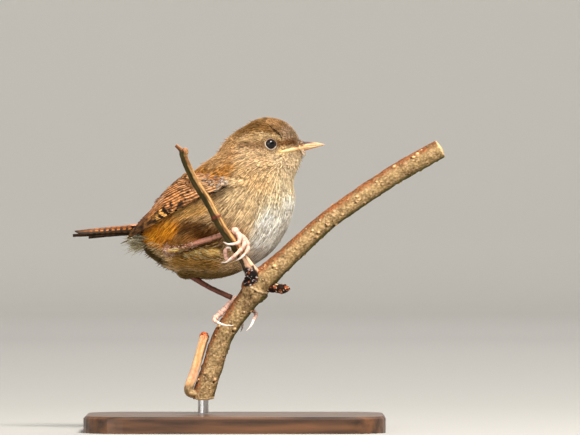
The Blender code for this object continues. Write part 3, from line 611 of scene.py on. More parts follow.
# What the plumage shows from the side: from X, Z to X, Z, radius, colour and strength, painted in order
PLUMAGE = {
    "back": (-4.0, 80.0, -27.0, 62.0, 9.0, (188, 130, 78), 1.0),
    "mantle": (-1.0, 84.0, -14.0, 78.0, 5.5, (196, 140, 84), 1.0),
    "breast": (14.1, 72.3, 12.0, 56.0, 10.0, (238, 216, 176), 1.0),
    "breast side": (2.0, 72.0, 5.0, 58.0, 7.0, (230, 198, 152), 0.9),
    "neck side": (3.5, 79.5, 9.5, 75.5, 5.0, (224, 184, 132), 0.9),
    # painted highlight: the breast's front edge is almost white, where the light strikes it
    "breast edge highlight": (18.0, 74.0, 14.5, 58.0, 4.5, (246, 238, 222), 0.95),
    # painted light: the lower breast, down to the foot, is paler than its own buff to stand against the shade
    # under the body
    "breast low": (11.0, 66.0, 8.5, 55.0, 5.0, (255, 249, 234), 0.9),
    "breast foot": (14.0, 58.0, 7.5, 51.0, 4.2, (255, 248, 230), 0.95),
    "throat": (17.5, 80.5, 17.0, 75.0, 4.5, (236, 210, 170), 1.0),
    "shoulder": (-10.5, 77.4, -1.0, 79.6, 3.4, (210, 144, 66), 0.9),
    "upper flank": (-21.5, 64.8, -8.0, 67.6, 3.2, (222, 170, 100), 1.0),
    "flank": (-26.2, 59.4, -18.5, 61.0, 6.5, (255, 160, 44), 1.0),
    "above the shank": (-19.0, 57.0, -8.0, 59.0, 3.0, (150, 92, 26), 0.85),
    # painted shade: the flank hollow under the wing, where the leg tucks in, and the belly just below the
    # shank are darkened as in shadow
    "flank hollow shade": (-13.4, 62.0, -3.0, 60.8, 4.4, (88, 50, 8), 0.95),
    "shade below the shank": (-14.5, 54.6, -3.6, 56.2, 3.6, (96, 60, 22), 0.95),
    "belly": (-16.0, 50.6, -4.0, 50.9, 2.9, (170, 124, 56), 0.9),
    # partly the belly's and the vent's own dark brown, partly painted shade on the underside, away from the
    # light above
    "under the belly": (-14.0, 46.2, 3.0, 47.6, 3.0, (96, 74, 26), 0.9),
    "vent": (-28.0, 56.0, -21.0, 50.5, 3.2, (58, 44, 8), 0.95),
    "crown": (2.0, 91.0, 14.0, 92.0, 5.4, (144, 104, 58), 1.0),
    "nape": (-1.5, 87.5, -4.5, 82.0, 5.0, (206, 160, 108), 1.0),
    "crown ahead": (12.5, 92.5, 16.5, 90.0, 2.8, (176, 134, 90), 0.9),
    "forehead": (16.6, 89.6, 18.6, 87.0, 2.8, (182, 150, 118), 0.9),
    "ear": (3.5, 83.8, 8.4, 82.4, 4.6, (230, 192, 146), 0.95),
    "cheek": (12.5, 82.6, 16.8, 81.6, 3.2, (228, 198, 158), 0.95),
    "eye stripe": (8.6, 86.0, 2.6, 86.0, 1.5, (146, 106, 70), 0.75),
    "lore": (13.2, 86.3, 18.2, 86.6, 1.3, (132, 84, 42), 0.85),
    "brow": (8.6, 88.6, 2.8, 87.7, 1.4, (214, 176, 126), 0.85),
    "brow ahead": (14.4, 87.5, 8.6, 88.9, 1.05, (224, 190, 140), 0.85),
    "under the eye": (8.5, 83.8, 13.2, 84.0, 0.9, (216, 182, 138), 0.8),
    "gape": (13.4, 83.7, 18.5, 84.8, 0.9, (234, 202, 150), 0.8),
    # painted shade: a dark line in the gap where the forehead's feathers part
    "parting": (12.0, 91.0, 14.7, 87.9, 0.48, (40, 24, 12), 0.95),
}
PLAIN = (214, 178, 130)

# How the feathers lie: at X, Z seen from the side, the share ahead and the share up
LIE = (
    ((18.6, 86.4), (-1.0, 0.0)),
    ((10.5, 94.0), (-1.0, 0.05)),
    ((-1.5, 87.0), (-0.75, -0.65)),
    ((15.0, 85.8), (-1.0, 0.0)),
    ((11.0, 83.4), (-1.0, -0.25)),
    ((4.5, 86.0), (-1.0, -0.1)),
    ((6.0, 81.9), (-0.9, -0.45)),
    ((18.6, 82.8), (-0.35, -0.95)),
    ((17.4, 77.7), (-0.2, -1.0)),
    ((8.1, 76.8), (-0.55, -0.85)),
    ((-3.0, 79.8), (-0.85, -0.5)),
    ((16.5, 69.3), (-0.12, -1.0)),
    ((9.0, 66.3), (-0.42, -0.9)),
    ((1.5, 64.8), (-0.62, -0.78)),
    ((10.5, 55.8), (-0.7, -0.7)),
    ((0.0, 50.7), (-0.95, -0.3)),
    ((-10.5, 49.8), (-1.0, 0.12)),
    ((-10.5, 64.8), (-0.85, -0.5)),
    ((-19.5, 58.8), (-0.72, -0.7)),
    ((-26.4, 54.3), (-0.95, -0.2)),
    ((-13.5, 78.3), (-0.8, -0.6)),
    ((-25.5, 64.8), (-0.78, -0.62)),
)
LIE_SOFTNESS = 2.5

SLIVER_SHARES = np.array((0.0, 0.42, 0.78, 1.0))
SLIVER_WIDTHS = np.array((0.6, 1.0, 0.66))
SLIVER_FACES = (
    np.array([(3 * r + a, 3 * r + 3 + a, 3 * r + 3 + b, 3 * r + b)
              for a, b in ((0, 2), (2, 1), (1, 0)) for r in (0, 1)]),
    np.array([(6, 9, 8), (8, 9, 7), (7, 9, 6), (0, 2, 1)]),
)
STREAK_SPACING = 0.56
PATCH = 0.0014  # half the size of a tuft's patch on its map


def painted(x, z, points, seed=0):
    """The plumage's colour at places seen from the side, its borders made uneven by noise."""
    stray_x, stray_z = [rough(points, (2.2, first, 0.9), (0.7, first + 1, 0.6)) for first in (seed, seed + 2)]
    colour = np.tile(linear(PLAIN), (len(x), 1))
    for x0, z0, x1, z1, radius, paint, strength in PLUMAGE.values():
        stray = min(1.0, radius / 4.5)
        right, up = x + stray * stray_x - x0, z + stray * stray_z - z0
        long, high = x1 - x0, z1 - z0
        share = np.clip((right * long + up * high) / (long ** 2 + high ** 2), 0, 1)
        away = np.hypot(right - share * long, up - share * high)
        edge = 0.8 if radius > 2.9 else 0.55
        colour = layered(colour, (paint, strength * soft((1 - away / radius) / edge)))
    return colour


def lie_of(x, z, points):
    """The way the feathers point at each place, not yet laid along the surface."""
    weights = [1 / ((x - at[0]) ** 2 + (z - at[1]) ** 2 + LIE_SOFTNESS) ** 2 for at, _ in LIE]
    ahead = sum(w * way[0] for w, (_, way) in zip(weights, LIE)) / sum(weights)
    up = sum(w * way[1] for w, (_, way) in zip(weights, LIE)) / sum(weights)
    off = np.stack([x - EYE[0], z - EYE[1]], axis=1)
    from_eye = np.linalg.norm(off, axis=1)
    off = off / np.maximum(from_eye, 1e-6)[:, None]
    towards = np.clip(-(ahead * off[:, 0] + up * off[:, 1]), 0, None)
    push = towards * (1 - soft((from_eye - 2.2) / 2.4)) * 1.25
    ahead, up = ahead + push * off[:, 0], up + push * off[:, 1]
    turn = TRUNK_TURN * (1 - slice_at(points[:, 2])[3])
    return np.stack([ahead * np.cos(turn), -ahead * np.sin(turn), up], axis=1)


def coat_length(x, z):
    """How long the feathers are, shortest round the bill and the eye."""
    length = np.interp(z, (46, 52, 60, 70, 79, 83, 88, 94), (3.8, 4.2, 4.2, 3.7, 2.9, 2.1, 1.8, 1.7))
    from_bill = np.hypot(x - 19.0, z - 85.2)
    length = length * np.interp(from_bill, (1.5, 4.0, 9.0), (0.38, 0.6, 1.0))
    from_eye = np.hypot(x - EYE[0], z - EYE[1])
    return np.minimum(length, 0.45 + 0.42 * np.clip(from_eye - 1.9, 0, None))


def coat_depth(length):
    return np.minimum(1.2, 0.22 + 0.27 * length)


class Shell:
    """The coat's outer surface as one closed mesh, to scatter feathers on and lay them along."""

    def __init__(self, made):
        self.points, self.faces, self.normals = mesh_arrays(made)
        self.tree = tree_of(self.points, self.faces)

    def settle(self, places):
        """The nearest point of the surface to each place, and the direction out of it."""
        flat = places.reshape(-1, 3)
        where, outward = np.empty_like(flat), np.empty_like(flat)
        for number, place in enumerate(flat):
            where[number], outward[number] = self.tree.find_nearest(place)[:2]
        return where.reshape(places.shape), outward.reshape(places.shape)

    def scatter(self, spacing, seed):
        """Places spread evenly over the surface, as far apart as spacing(points) says."""
        rng = np.random.default_rng(seed)
        corners = self.points[self.faces]
        first, along, across = corners[:, 0], corners[:, 1] - corners[:, 0], corners[:, 2] - corners[:, 0]
        areas = np.linalg.norm(np.cross(along, across), axis=1) / 2
        wanted = areas / spacing(corners.mean(axis=1)) ** 2
        picked = rng.choice(len(areas), int(wanted.sum() * 4), p=wanted / wanted.sum())
        a, b = rng.random((2, len(picked), 1))
        a, b = np.where(a + b > 1, 1 - a, a), np.where(a + b > 1, 1 - b, b)
        places = first[picked] + along[picked] * a + across[picked] * b
        radii = spacing(places)
        tree = KDTree(len(places))
        for number, place in enumerate(places):
            tree.insert(place, number)
        tree.balance()
        free = np.ones(len(places), bool)
        kept = []
        for number, place in enumerate(places):
            if free[number]:
                kept.append(number)
                for _, other, _ in tree.find_range(place, radii[number]):
                    free[other] = False
        return places[kept]


def flesh():
    """The body with both thighs, fused and smoothed: the shape that the tips of the coat reach."""
    rows, sides = body_rows(4), 72
    inner = rows[1:-1]
    columns = [np.repeat(inner[:, column], sides) for column in range(5)]
    rings = on_slice(columns[HEIGHT], np.tile(circle(sides), len(inner)), *columns[1:])
    ends = [on_slice(row[HEIGHT], 0.0, *row[1:]) for row in (rows[0], rows[-1])]
    heap = Heap()
    heap.add(np.vstack([rings, ends]),
             [grid_faces(len(inner), sides, closed=True), end_caps(len(inner), sides)])
    heap.add(*sweep(RIGHT_THIGH, 24)[:2])
    centre, radii = LEFT_THIGH
    ball, faces = sphere(20, 32)
    heap.add(np.array(centre) + ball * radii, faces)
    made = heap.make("flesh", SKIN_LOOK, "body_feathers", mapped=False)
    remesh = made.modifiers.new("fuse", "REMESH")
    remesh.mode = "VOXEL"
    remesh.voxel_size = 0.5 * MM
    made.modifiers.new("smooth", "SMOOTH").iterations = 8
    bpy.context.view_layer.update()
    shell = Shell(made)
    bpy.data.objects.remove(made)
    return shell


def stems(roots, way, length):
    """The centres of straight slivers, four to each root."""
    return roots[:, None] + way[:, None] * length[:, None, None] * SLIVER_SHARES[None, :, None]


def slivers(heap, centres, outward, half_width, tint, places):
    """Thin closed blades, each with four centres from root to tip and a ridge on its outer side."""
    count = len(centres)
    side = unit(np.cross(np.gradient(centres, axis=1), outward))[:, :3]
    reach = half_width[:, None, None] * SLIVER_WIDTHS[None, :, None]
    inner, lift = centres[:, :3], outward[:, :3] * (reach * 0.3)
    rings = np.stack([inner - side * reach, inner + side * reach, inner + lift], axis=2).reshape(count, 9, 3)
    points = np.concatenate([rings, centres[:, 3:]], axis=1).reshape(-1, 3)
    start = np.arange(count)[:, None, None] * 10
    faces = [(shape[None] + start).reshape(-1, shape.shape[1]) for shape in SLIVER_FACES]
    # painted shade and light: each sliver is darkest at its root, deep in the coat, and palest at its tip
    shade = np.repeat((0.5, 0.86, 1.02), 3).tolist() + [1.12]
    colours = (tint[:, None, :] * np.array(shade)[None, :, None]).reshape(-1, 3)
    spots = np.array([(x, y) for y in (-1, -0.3, 0.4) for x in (-1, 1, 0)] + [(0, 1)]) * PATCH
    maps = (places[:, None, :] + spots[None]).reshape(-1, 2)
    heap.add(points, faces, colours, places=maps)


def coat_map(points):
    """Places on an unwrap of the skin, from the angle round it and the length down it."""
    height, angle = around(points)
    rows = BODY_CURVE[::-1]
    down = np.concatenate([[0], np.cumsum(np.hypot(np.diff(rows[:, HEIGHT]), np.diff(rows[:, HALF_LENGTH])))])
    share = np.interp(-height, -rows[:, HEIGHT], down / down[-1])
    return np.stack([0.01 + 0.98 * (angle / (2 * math.pi) + 0.5), 0.01 + 0.98 * share], axis=1)


def feathers(heap, shell, roots, way, length, width, depth, count, rng, tint, streak, vary, rise=(0.0, 0.0)):
    """Small soft feathers, each a fan of slivers that starts in the skin and lies along the coat."""
    total = len(roots)
    _, normal = shell.settle(roots)
    way = laid(way, normal)
    side = np.cross(way, normal)
    turn = rng.normal(0, 0.12, total)[:, None]
    way, side = way * np.cos(turn) + side * np.sin(turn), side * np.cos(turn) - way * np.sin(turn)
    across = np.tile(np.linspace(-1, 1, count), (total, 1)) + rng.normal(0, 0.12, (total, count))
    long = length[:, None] * (1 - 0.22 * across ** 2 + rng.normal(0, 0.06, (total, count)))
    spread = (0.25, 0.9, 1.0, 0.82)
    ahead = long[:, :, None, None] * SLIVER_SHARES[:, None]
    aside = (width[:, None] / 2 * across)[:, :, None, None] * np.array(spread)[:, None]
    centres = roots[:, None, None] + way[:, None, None] * ahead + side[:, None, None] * aside
    where, outward = shell.settle(centres)
    sink = np.array((-1.05, -0.5, -0.1, 0.0))
    loose = np.where(rng.random(total) < 0.05, rng.uniform(0.1, 0.45, total), 0.0)
    small = np.minimum(1, length / 3)[:, None]
    tips = (np.abs(rng.normal(0, 0.05, (total, count))) + loose[:, None]) * small
    lift = (depth[:, None, None] * sink + tips[:, :, None] * SLIVER_SHARES ** 3
            + (0.07 * (1 - across ** 2) * small)[:, :, None] + rise[0] + (rise[1] - rise[0]) * SLIVER_SHARES)
    centres = (where + outward * lift[..., None]).reshape(-1, 4, 3)
    half = np.repeat(width / count * 0.8, count) * rng.uniform(0.7, 1.25, total * count)
    strands = np.repeat(rng.normal(0, 1, (total, (count + 1) // 2)), 2, axis=1)[:, :count]
    feather = (0.3 * rng.normal(0, 1.0, total)[:, None] + 1.2 * strands) * vary[:, None]
    feather = feather + rng.normal(0, 0.08, (total, count))
    dark = 1 - streak[:, None] * np.clip(1 - np.abs(across) * 1.3, 0, 1)
    shade = (np.clip(1 + feather, 0.38, 1.9) * dark).reshape(-1, 1)
    slivers(heap, centres, outward.reshape(-1, 4, 3), half, np.repeat(tint, count, axis=0) * shade,
            np.repeat(coat_map(roots), count, axis=0))


def coat_piece(name, *strands):
    heap = Heap()
    slivers(heap, *strands)
    heap.make(name, COAT_LOOK, "body_feathers")


WING_NEAR = 3.5  # how far out a wing hides the coat under it


def under_wing(points, outward):
    """Which points of the body have a wing close over them."""
    hidden = np.zeros(len(points), bool)
    for name in ("wing_right", "wing_left"):
        tree = tree_of(*mesh_arrays(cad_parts[name])[:2])
        for number in np.nonzero(~hidden)[0]:
            found, *_ = tree.ray_cast(Vector(points[number]), Vector(outward[number]), WING_NEAR)
            hidden[number] = found is not None
    return hidden


COAT_PIECES = {  # each piece's slivers to a feather
    "coat_face": 7,
    "coat_crown": 8,
    "coat_neck": 12,
    "coat_breast": 14,
    "coat_flank_right": 14,
    "coat_flank_left": 14,
    "coat_back": 14,
    "coat_belly": 13,
}


def coat_part(points, x, z, angle):
    """The number of the piece in COAT_PIECES that each feather belongs to."""
    left = points[:, 1] >= 4.5 - 0.36 * points[:, 0]
    breast, back = angle < math.radians(62), angle > math.radians(128)
    return np.select([(z > 80) & (x > 6.5) & (z < 90.5), z > 82, z > 74.5, z < 54, breast, back, ~left],
                     [0, 1, 2, 7, 3, 6, 4], 5)


def make_coat(shell):
    def spacing(points):
        x, z, _ = seen(points)
        return 0.135 + 0.205 * coat_length(x, z)

    rng = np.random.default_rng(7)
    roots = shell.scatter(spacing, 3)
    x, z, angle = seen(roots)
    _, normal = shell.settle(roots)
    length = coat_length(x, z)
    way = lie_of(x, z, roots)
    hidden = under_wing(roots, normal) & (z > 64.5)
    hidden &= under_wing(roots + laid(way, normal) * length[:, None], normal)
    from_eye = np.hypot(x - EYE[0], z - EYE[1])
    at_bill = (roots[:, 0] > 17.5) & (np.abs(roots[:, 1] - HEAD_DEPTH) < 1.75) & (z > 83.6) & (z < 86.9)
    kept = ~hidden & ((from_eye > 1.74) | (z < 80)) & ~at_bill
    roots, x, z, angle, length, way = [some[kept] for some in (roots, x, z, angle, length, way)]
    tint = painted(x, z, roots) * (1 + np.where(z > 79, 0.22, 0.12) * noise(roots, 1.0, 11))[:, None]
    streak = np.select([z > 88, z > 84.5, z > 78, angle > math.radians(115), x < -4],
                       [0.55, 0.42, 0.34, 0.34, 0.22], 0.14)
    vary = np.interp(z, (56, 72, 80, 84, 90), (0.2, 0.15, 0.2, 0.26, 0.36))
    vary = vary * np.interp(coat_length(x, z), (0.5, 1.2), (0.7, 1.0))
    part = coat_part(roots, x, z, angle)
    for number, (name, count) in enumerate(COAT_PIECES.items()):
        at, ways, long, colour, dark, change = [
            some[part == number] for some in (roots, way, length, tint, streak, vary)]
        heap = Heap()
        feathers(heap, shell, at, ways, long, long * 0.56, coat_depth(long), count, rng, colour, dark, change)
        heap.make(name, COAT_LOOK, "body_feathers")


def make_streaks(shell):
    """Long thin strands over the whole coat, lighter and darker than it, that draw its lie."""
    rng = np.random.default_rng(61)
    roots = shell.scatter(lambda points: np.full(len(points), STREAK_SPACING), 13)
    x, z, _ = seen(roots)
    _, normal = shell.settle(roots)
    length = 0.95 * coat_length(x, z) * rng.uniform(0.7, 1.3, len(roots))
    way = laid(lie_of(x, z, roots), normal)
    way = unit(way + rng.normal(0, 0.07, way.shape))
    hidden = under_wing(roots, normal) | under_wing(roots + way * length[:, None], normal)
    at_face = (np.hypot(x - EYE[0], z - EYE[1]) < 2.3) | (roots[:, 0] > 17.5) & (z > 83.2) & (z < 87.2)
    kept = ~hidden & ~(at_face & (z > 80))
    roots, x, z, length, way = [some[kept] for some in (roots, x, z, length, way)]
    where, outward = shell.settle(stems(roots, way, length))
    rise = np.array((-0.15, 0.07, 0.1, 0.03))[:, None] * np.minimum(1, length / 2)[:, None, None]
    shade = pick(rng, len(roots), 0.42, 0.58, 0.74, 1.2, 1.34, 1.5)
    strong = np.interp(z, (50, 62, 78, 84, 89, 90), (1.1, 0.9, 0.9, 1.0, 1.0, 1.35))
    strong = strong * np.where(x > 12, 0.8, 1.0)
    tint = painted(x, z, roots) * (1 + (shade - 1) * strong)[:, None]
    half_width = np.minimum(0.1, 0.03 + 0.025 * length)
    coat_piece("coat_streaks", where + outward * rise, outward, half_width, tint, coat_map(roots))


def pick(rng, count, *choices):
    """One of the choices for each of count slivers: plain numbers, or screen colours as light."""
    choices = linear(choices) if isinstance(choices[0], tuple) else np.array(choices)
    return choices[rng.integers(0, len(choices), count)]


def make_skin(shell):
    """One skin under the whole coat, in place of the torso, neck, head and thighs."""
    x, z, _ = seen(shell.points)
    depth = coat_depth(coat_length(x, z))
    # painted shade: the skin has the plumage's colour at half brightness, for the shade deep down in the coat
    single("skin", SKIN_LOOK, "body_feathers", ("torso", "neck", "head", "thigh_right", "thigh_left"),
           shell.points - shell.normals * depth[:, None], [shell.faces], painted(x, z, shell.points) * 0.5)


# Head

def face_point(x, height, side):
    middle, length, width, _ = slice_at(height)
    angle = side * math.acos(np.clip((x - middle) / length, -1, 1))
    return on_slice(np.array(height), angle, middle, length, width, 1.0)


def face_outward(x, height, side):
    step = 0.5
    ahead = face_point(x + step, height, side) - face_point(x - step, height, side)
    up = face_point(x, height + step, side) - face_point(x, height - step, side)
    return unit(np.cross(up, ahead) * side)


def eye_frame(side):
    """The eye's middle, and the directions out of it, ahead and up."""
    outward = face_outward(*EYE, side)
    ahead = unit(np.array((1.0, 0, 0)) - outward * outward[0])
    return face_point(*EYE, side) - outward * EYE_SUNK, outward, ahead, np.cross(ahead, outward) * side


def eye_spot(side, out, spread, angle, flat=1.0):
    """Places out of the eye's middle and round its axis, flattened up and down."""
    centre, outward, ahead, up = eye_frame(side)
    return (centre + outward * np.reshape(out, (-1, 1)) + ahead * (spread * np.cos(angle))[:, None]
            + up * (spread * flat * np.sin(angle))[:, None])


def make_eye(name, side):
    rings, sides = 30, 48
    tilt, turn = np.repeat(np.linspace(0, math.pi, rings), sides), np.tile(circle(sides), rings)
    radius = EYE_RADIUS * (1 + 0.03 * soft(1 - tilt / 0.9))
    points = eye_spot(side, radius * np.cos(tilt), radius * np.sin(tilt), turn)
    iris = soft((tilt - 0.42) / 0.06) * (1 - soft((tilt - 1.0) / 0.1))
    faces = grid_faces(rings, sides, closed=True)[:, ::-side]
    look, tree = principled(name.replace("_", " "), 0.06, 0.3)
    join(tree, attribute(tree, "tint"))
    mend(single(name.replace("eye", "eyeball"), look, "eye", (name,),
                points, [faces], layered((4, 4, 4), ((30, 20, 14), iris))))


# Each point of the lids' section: distance from the eye's axis, rise over the face, and colour
LID_SECTION = (
    # painted shade: the two innermost points, sunk against the eye, are dark
    (1.48, -0.2, (30, 24, 20)),
    (1.55, 0.04, (58, 48, 44)),
    (1.6, 0.1, (188, 180, 176)),
    (1.69, 0.1, (196, 184, 170)),
    (1.79, 0.0, (150, 122, 92)),
    (2.1, -0.35, (130, 100, 70)),
    (2.35, -0.8, (100, 74, 50)),
)
LID_FLATNESS = 0.95  # height against length of the opening
LID_THICKNESS = 0.5


def make_lids(name, side):
    _, outward, _, _ = eye_frame(side)
    sides = 56
    turn = circle(sides)
    ripple = 1 + 0.02 * np.sin(turn * 9) + 0.014 * np.sin(turn * 17 + 1)
    corner = 0.13 * np.maximum(np.abs(np.cos(turn)) - 0.8, 0) / 0.2
    pale = soft((0.45 - np.sin(turn) - 0.4 * np.cos(turn)) / 0.9)
    rows, tints = [], []
    for number, (radius, rise, colour) in enumerate(LID_SECTION):
        spread = (radius + corner) * (ripple if number > 1 else 1)
        flat = LID_FLATNESS if number < 4 else 1
        rows.append(eye_spot(side, EYE_SUNK + rise, spread, turn, flat))
        tints.append(layered(linear(colour) * (0.42, 0.32, 0.24), (colour, pale)))
    under = [row - outward * LID_THICKNESS for row in rows[::-1]]
    faces = grid_faces(2 * len(rows) + 1, sides, closed=True)[:, ::side]
    mend(single(name, LID_LOOK, "body_feathers", (), np.vstack(rows + under + [rows[0]]), [faces],
                np.vstack(tints + tints[::-1] + [tints[0]])))


def make_bill(name, cad, upward):
    """A mandible with a ridge along it, and in the upper one the nostrils' hollows."""
    up = 1 if upward else -1
    share = 1 - (1 - np.linspace(0, 1, 60)) ** 1.25
    x = BILL_ROOT[0] + (BILL_TIP[0] - BILL_ROOT[0]) * share - (0 if upward else 0.5 * share)
    z = BILL_ROOT[1] + (BILL_TIP[1] - BILL_ROOT[1]) * share + 0.25 * np.sin(math.pi * share)
    width = BILL_HALF_WIDTH * (1 - share) ** 0.9 + 0.13
    height = (CULMEN_RISE if upward else JAW_DEPTH) * (1 - share ** 1.4) ** 0.9 + 0.1
    base = z + up * MOUTH_GAP
    sides = 28
    turn = np.linspace(0, math.pi, sides)
    section = np.sign(np.cos(turn)) * np.abs(np.cos(turn)) ** 0.82
    lift = np.sin(turn) ** (0.9 if upward else 1.0) + 0.08 * bell(turn - math.pi / 2, 0.16)
    points = rows_of(np.repeat(x, sides), HEAD_DEPTH - np.outer(width, section).ravel(),
                     (base[:, None] + np.outer(height, lift) * up).ravel())
    steep, far = np.tile(np.sin(turn), len(x)), np.repeat(share, sides)
    tip = ((176, 122, 88), 0.6 * soft((far - 0.86) / 0.14))
    if upward:
        ahead, above = points[:, 0] - NOSTRIL[0], points[:, 2] - NOSTRIL[1]
        hollow, brim = bell(ahead, 0.7) * bell(above, 0.22), bell(ahead, 1.0) * bell(above - 0.38, 0.2)
        points[:, 1] -= np.sign(points[:, 1] - HEAD_DEPTH) * (0.42 * hollow - 0.12 * brim)
        culmen = soft((steep - 0.42) / 0.2) * (1 - 0.85 * soft((far - 0.5) / 0.3))
        # painted shade: the nostrils' hollows are darkened
        tint = layered((216, 166, 120), ((66, 52, 54), culmen)) * (1 - 0.8 * hollow[:, None])
        tint = layered(tint, ((222, 146, 84), soft((0.2 - steep) / 0.2)), tip)
    else:
        tint = layered((232, 190, 142), ((206, 122, 58), soft((steep - 0.6) / 0.35)), tip)
    rows = points.reshape(len(x), sides, 3)
    floor = rows[:, [0, -1]].mean(axis=1)
    floor[:, 2] = base + up * 0.15 * (1 - share)
    inside = np.tile(linear((150, 80, 60)), (len(x), 1, 1))
    tint = np.concatenate([tint.reshape(rows.shape), inside], axis=1)
    order = np.arange(sides + 1)
    start = (len(x) - 1) * (sides + 1)
    faces = [grid_faces(len(x), sides + 1, closed=True), order[None, ::-1], start + order[None]]
    single(name, HORN_LOOK, "horn", (cad,), np.concatenate([rows, floor[:, None]], axis=1).reshape(-1, 3),
           [some[:, ::up] for some in faces], tint.reshape(-1, 3))


# The gape's centre line and radius: X, Z seen from the side
GAPE_LINE = ((13.1, 83.66, 0.08), (13.8, 83.75, 0.2), (15.0, 83.95, 0.34), (16.4, 84.2, 0.46),
             (17.8, 84.5, 0.55), (19.2, 84.8, 0.56), (20.6, 85.05, 0.44), (22.0, 85.25, 0.16))


def make_gape():
    """The soft yellowish edge of the mouth, from the bill back to its corner."""
    heap = Heap()
    for side in (-1, 1):
        rows = []
        for x, z, radius in GAPE_LINE:
            place = face_point(min(x, 18.2), z, side) - face_outward(min(x, 18.0), z, side) * (radius - 0.12)
            if x > 18.2:
                half_width = BILL_HALF_WIDTH * ((BILL_TIP[0] - x) / (BILL_TIP[0] - BILL_ROOT[0])) ** 0.9
                place = np.array((x, HEAD_DEPTH + side * (half_width + 0.1 - 0.6 * radius), z))
            rows.append((*place, radius))
        points, faces, *_ = sweep(rows, 18, 8)
        off = points[:, 2] - np.interp(points[:, 0], (13.1, 20.4), (83.6, 84.95))
        ahead = soft((points[:, 0] - 16.2) / 2.0)
        heap.add(points, faces, layered(
            (226, 192, 142),
            ((196, 100, 48), bell(off - 0.05, 0.09) * ahead),
            ((214, 152, 118), bell(off - 0.38, 0.16) * ahead * 0.7),
            ((216, 126, 50), soft((-off - 0.3) / 0.15) * ahead),
            ((230, 168, 76), 1 - soft((points[:, 0] - 13.2) / 1.2)),
        ))
    heap.make("gape", LID_LOOK, "horn", mapped=False)


# Wings

def wing_slice(height):
    middle, length, width, head = slice_at(height)
    flare = WING_FLARE * np.clip((WING_FLARE_TOP - height) / WING_FLARE_DEPTH, 0, 1) ** 2
    return middle - flare / 2 * math.cos(TRUNK_TURN), length + flare / 2, width, head


def wing_frame(height, angle):
    """The wing's surface at heights and angles: points, outwards, and the ways up and round."""
    step = 0.02
    point = on_slice(height, angle, *wing_slice(height))
    up = (on_slice(height + step, angle, *wing_slice(height + step)) - point) / step
    onward = (on_slice(height, angle + step, *wing_slice(height)) - point) / step
    return point, unit(np.cross(onward, up)), up, onward


def seen_angle(x, height):
    middle, length, width, head = wing_slice(height)
    turn = TRUNK_TURN * (1 - head)
    ahead, aside = length * math.cos(turn), width * math.sin(turn)
    share = np.clip((x - middle) / math.hypot(ahead, aside), -0.999, 0.999)
    return math.degrees(math.acos(share) - math.atan2(aside, ahead))


WING_END = (WING_TIP[1], seen_angle(*WING_TIP))
LOWER_EDGE = open_curve([(z, seen_angle(x, z)) for x, z in WING_LOWER_EDGE] + [WING_END], 4)
UPPER_EDGE = open_curve(list(WING_UPPER_EDGE) + [WING_END], 4)


def wing_spot(along, across):
    """Height and degrees at shares along and across the closed wing."""
    found = []
    for edge in (LOWER_EDGE, UPPER_EDGE):
        at = along * (len(edge) - 1)
        found.append(np.array([np.interp(at, range(len(edge)), edge[:, column]) for column in (0, 1)]))
    return found[0] * (1 - across) + found[1] * across


# Rows of wing feathers: how many, half width, rise of root and tip, share of the length where the
# tip starts to narrow, the lowest and highest feather's root and then tip along and across the wing,
# the outer and inner web's colour, the bars' strength on the lowest and highest, their pitch, the
# colour at the very tip and the share of the length where it starts
WING_ROWS = {
    "primary": (11, 1.15, 1.15, 1.35, 0.6, (0.42, 0.05), (0.36, 0.4), (0.98, 0.36), (0.9, 0.72),
                (222, 150, 76), (70, 38, 16), 0.7, 0.3, 2.7, (30, 18, 11), 0.4),
    "secondary": (10, 1.3, 1.25, 1.5, 0.74, (0.34, 0.36), (0.28, 0.7), (0.86, 0.55), (0.74, 0.84),
                  (204, 134, 80), (96, 54, 28), 0.3, 0.25, 2.1, (70, 38, 22), 0.6),
    "tertial": (5, 1.5, 1.4, 1.62, 0.72, (0.22, 0.64), (0.15, 0.92), (0.7, 0.74), (0.5, 0.95),
                (214, 158, 112), (136, 86, 52), 0.3, 0.25, 1.9, (120, 74, 48), 0.7),
    "primary_covert": (6, 0.85, 1.3, 1.6, 0.7, (0.28, 0.06), (0.26, 0.24), (0.64, 0.06), (0.58, 0.3),
                       (222, 164, 92), (110, 62, 28), 1.0, 0.9, 2.3, (60, 36, 20), 0.8),
    "greater_covert": (10, 1.0, 1.45, 1.75, 0.72, (0.22, 0.1), (0.15, 0.8), (0.5, 0.08), (0.38, 0.82),
                       (208, 142, 88), (120, 70, 38), 0.4, 0.3, 2.0, (190, 132, 84), 0.86),
    "median_covert": (10, 0.85, 1.6, 1.95, 0.66, (0.12, 0.12), (0.06, 0.86), (0.33, 0.1), (0.24, 0.84),
                      (204, 146, 98), (132, 84, 50), 0.35, 0.3, 1.5, (214, 176, 136), 0.86),
    "lesser_covert": (12, 0.75, 1.7, 2.1, 0.6, (0.05, 0.1), (0.0, 0.9), (0.2, 0.06), (0.14, 0.9),
                      (206, 156, 110), (150, 100, 62), 0.25, 0.2, 1.2, (200, 154, 108), 0.8),
}
BLOTCH_LINE = ((-31.0, 58.0), (-25.5, 61.2), (-19.0, 66.2), (-12.0, 70.6))  # X, Z seen from the side
BLOTCH_COLOUR = (26, 18, 16)
WING_AXIS = unit(np.array((-22.5, 0.0, -18.5)))  # from the wrist towards the tip
VANE_ACROSS = np.array((-1.0, -0.86, -0.62, -0.4, -0.29, -0.24, -0.19, -0.05, 0.25, 0.6, 0.88, 1.0))
VANE_RACHIS = -0.24
VANE_ALONG = 26


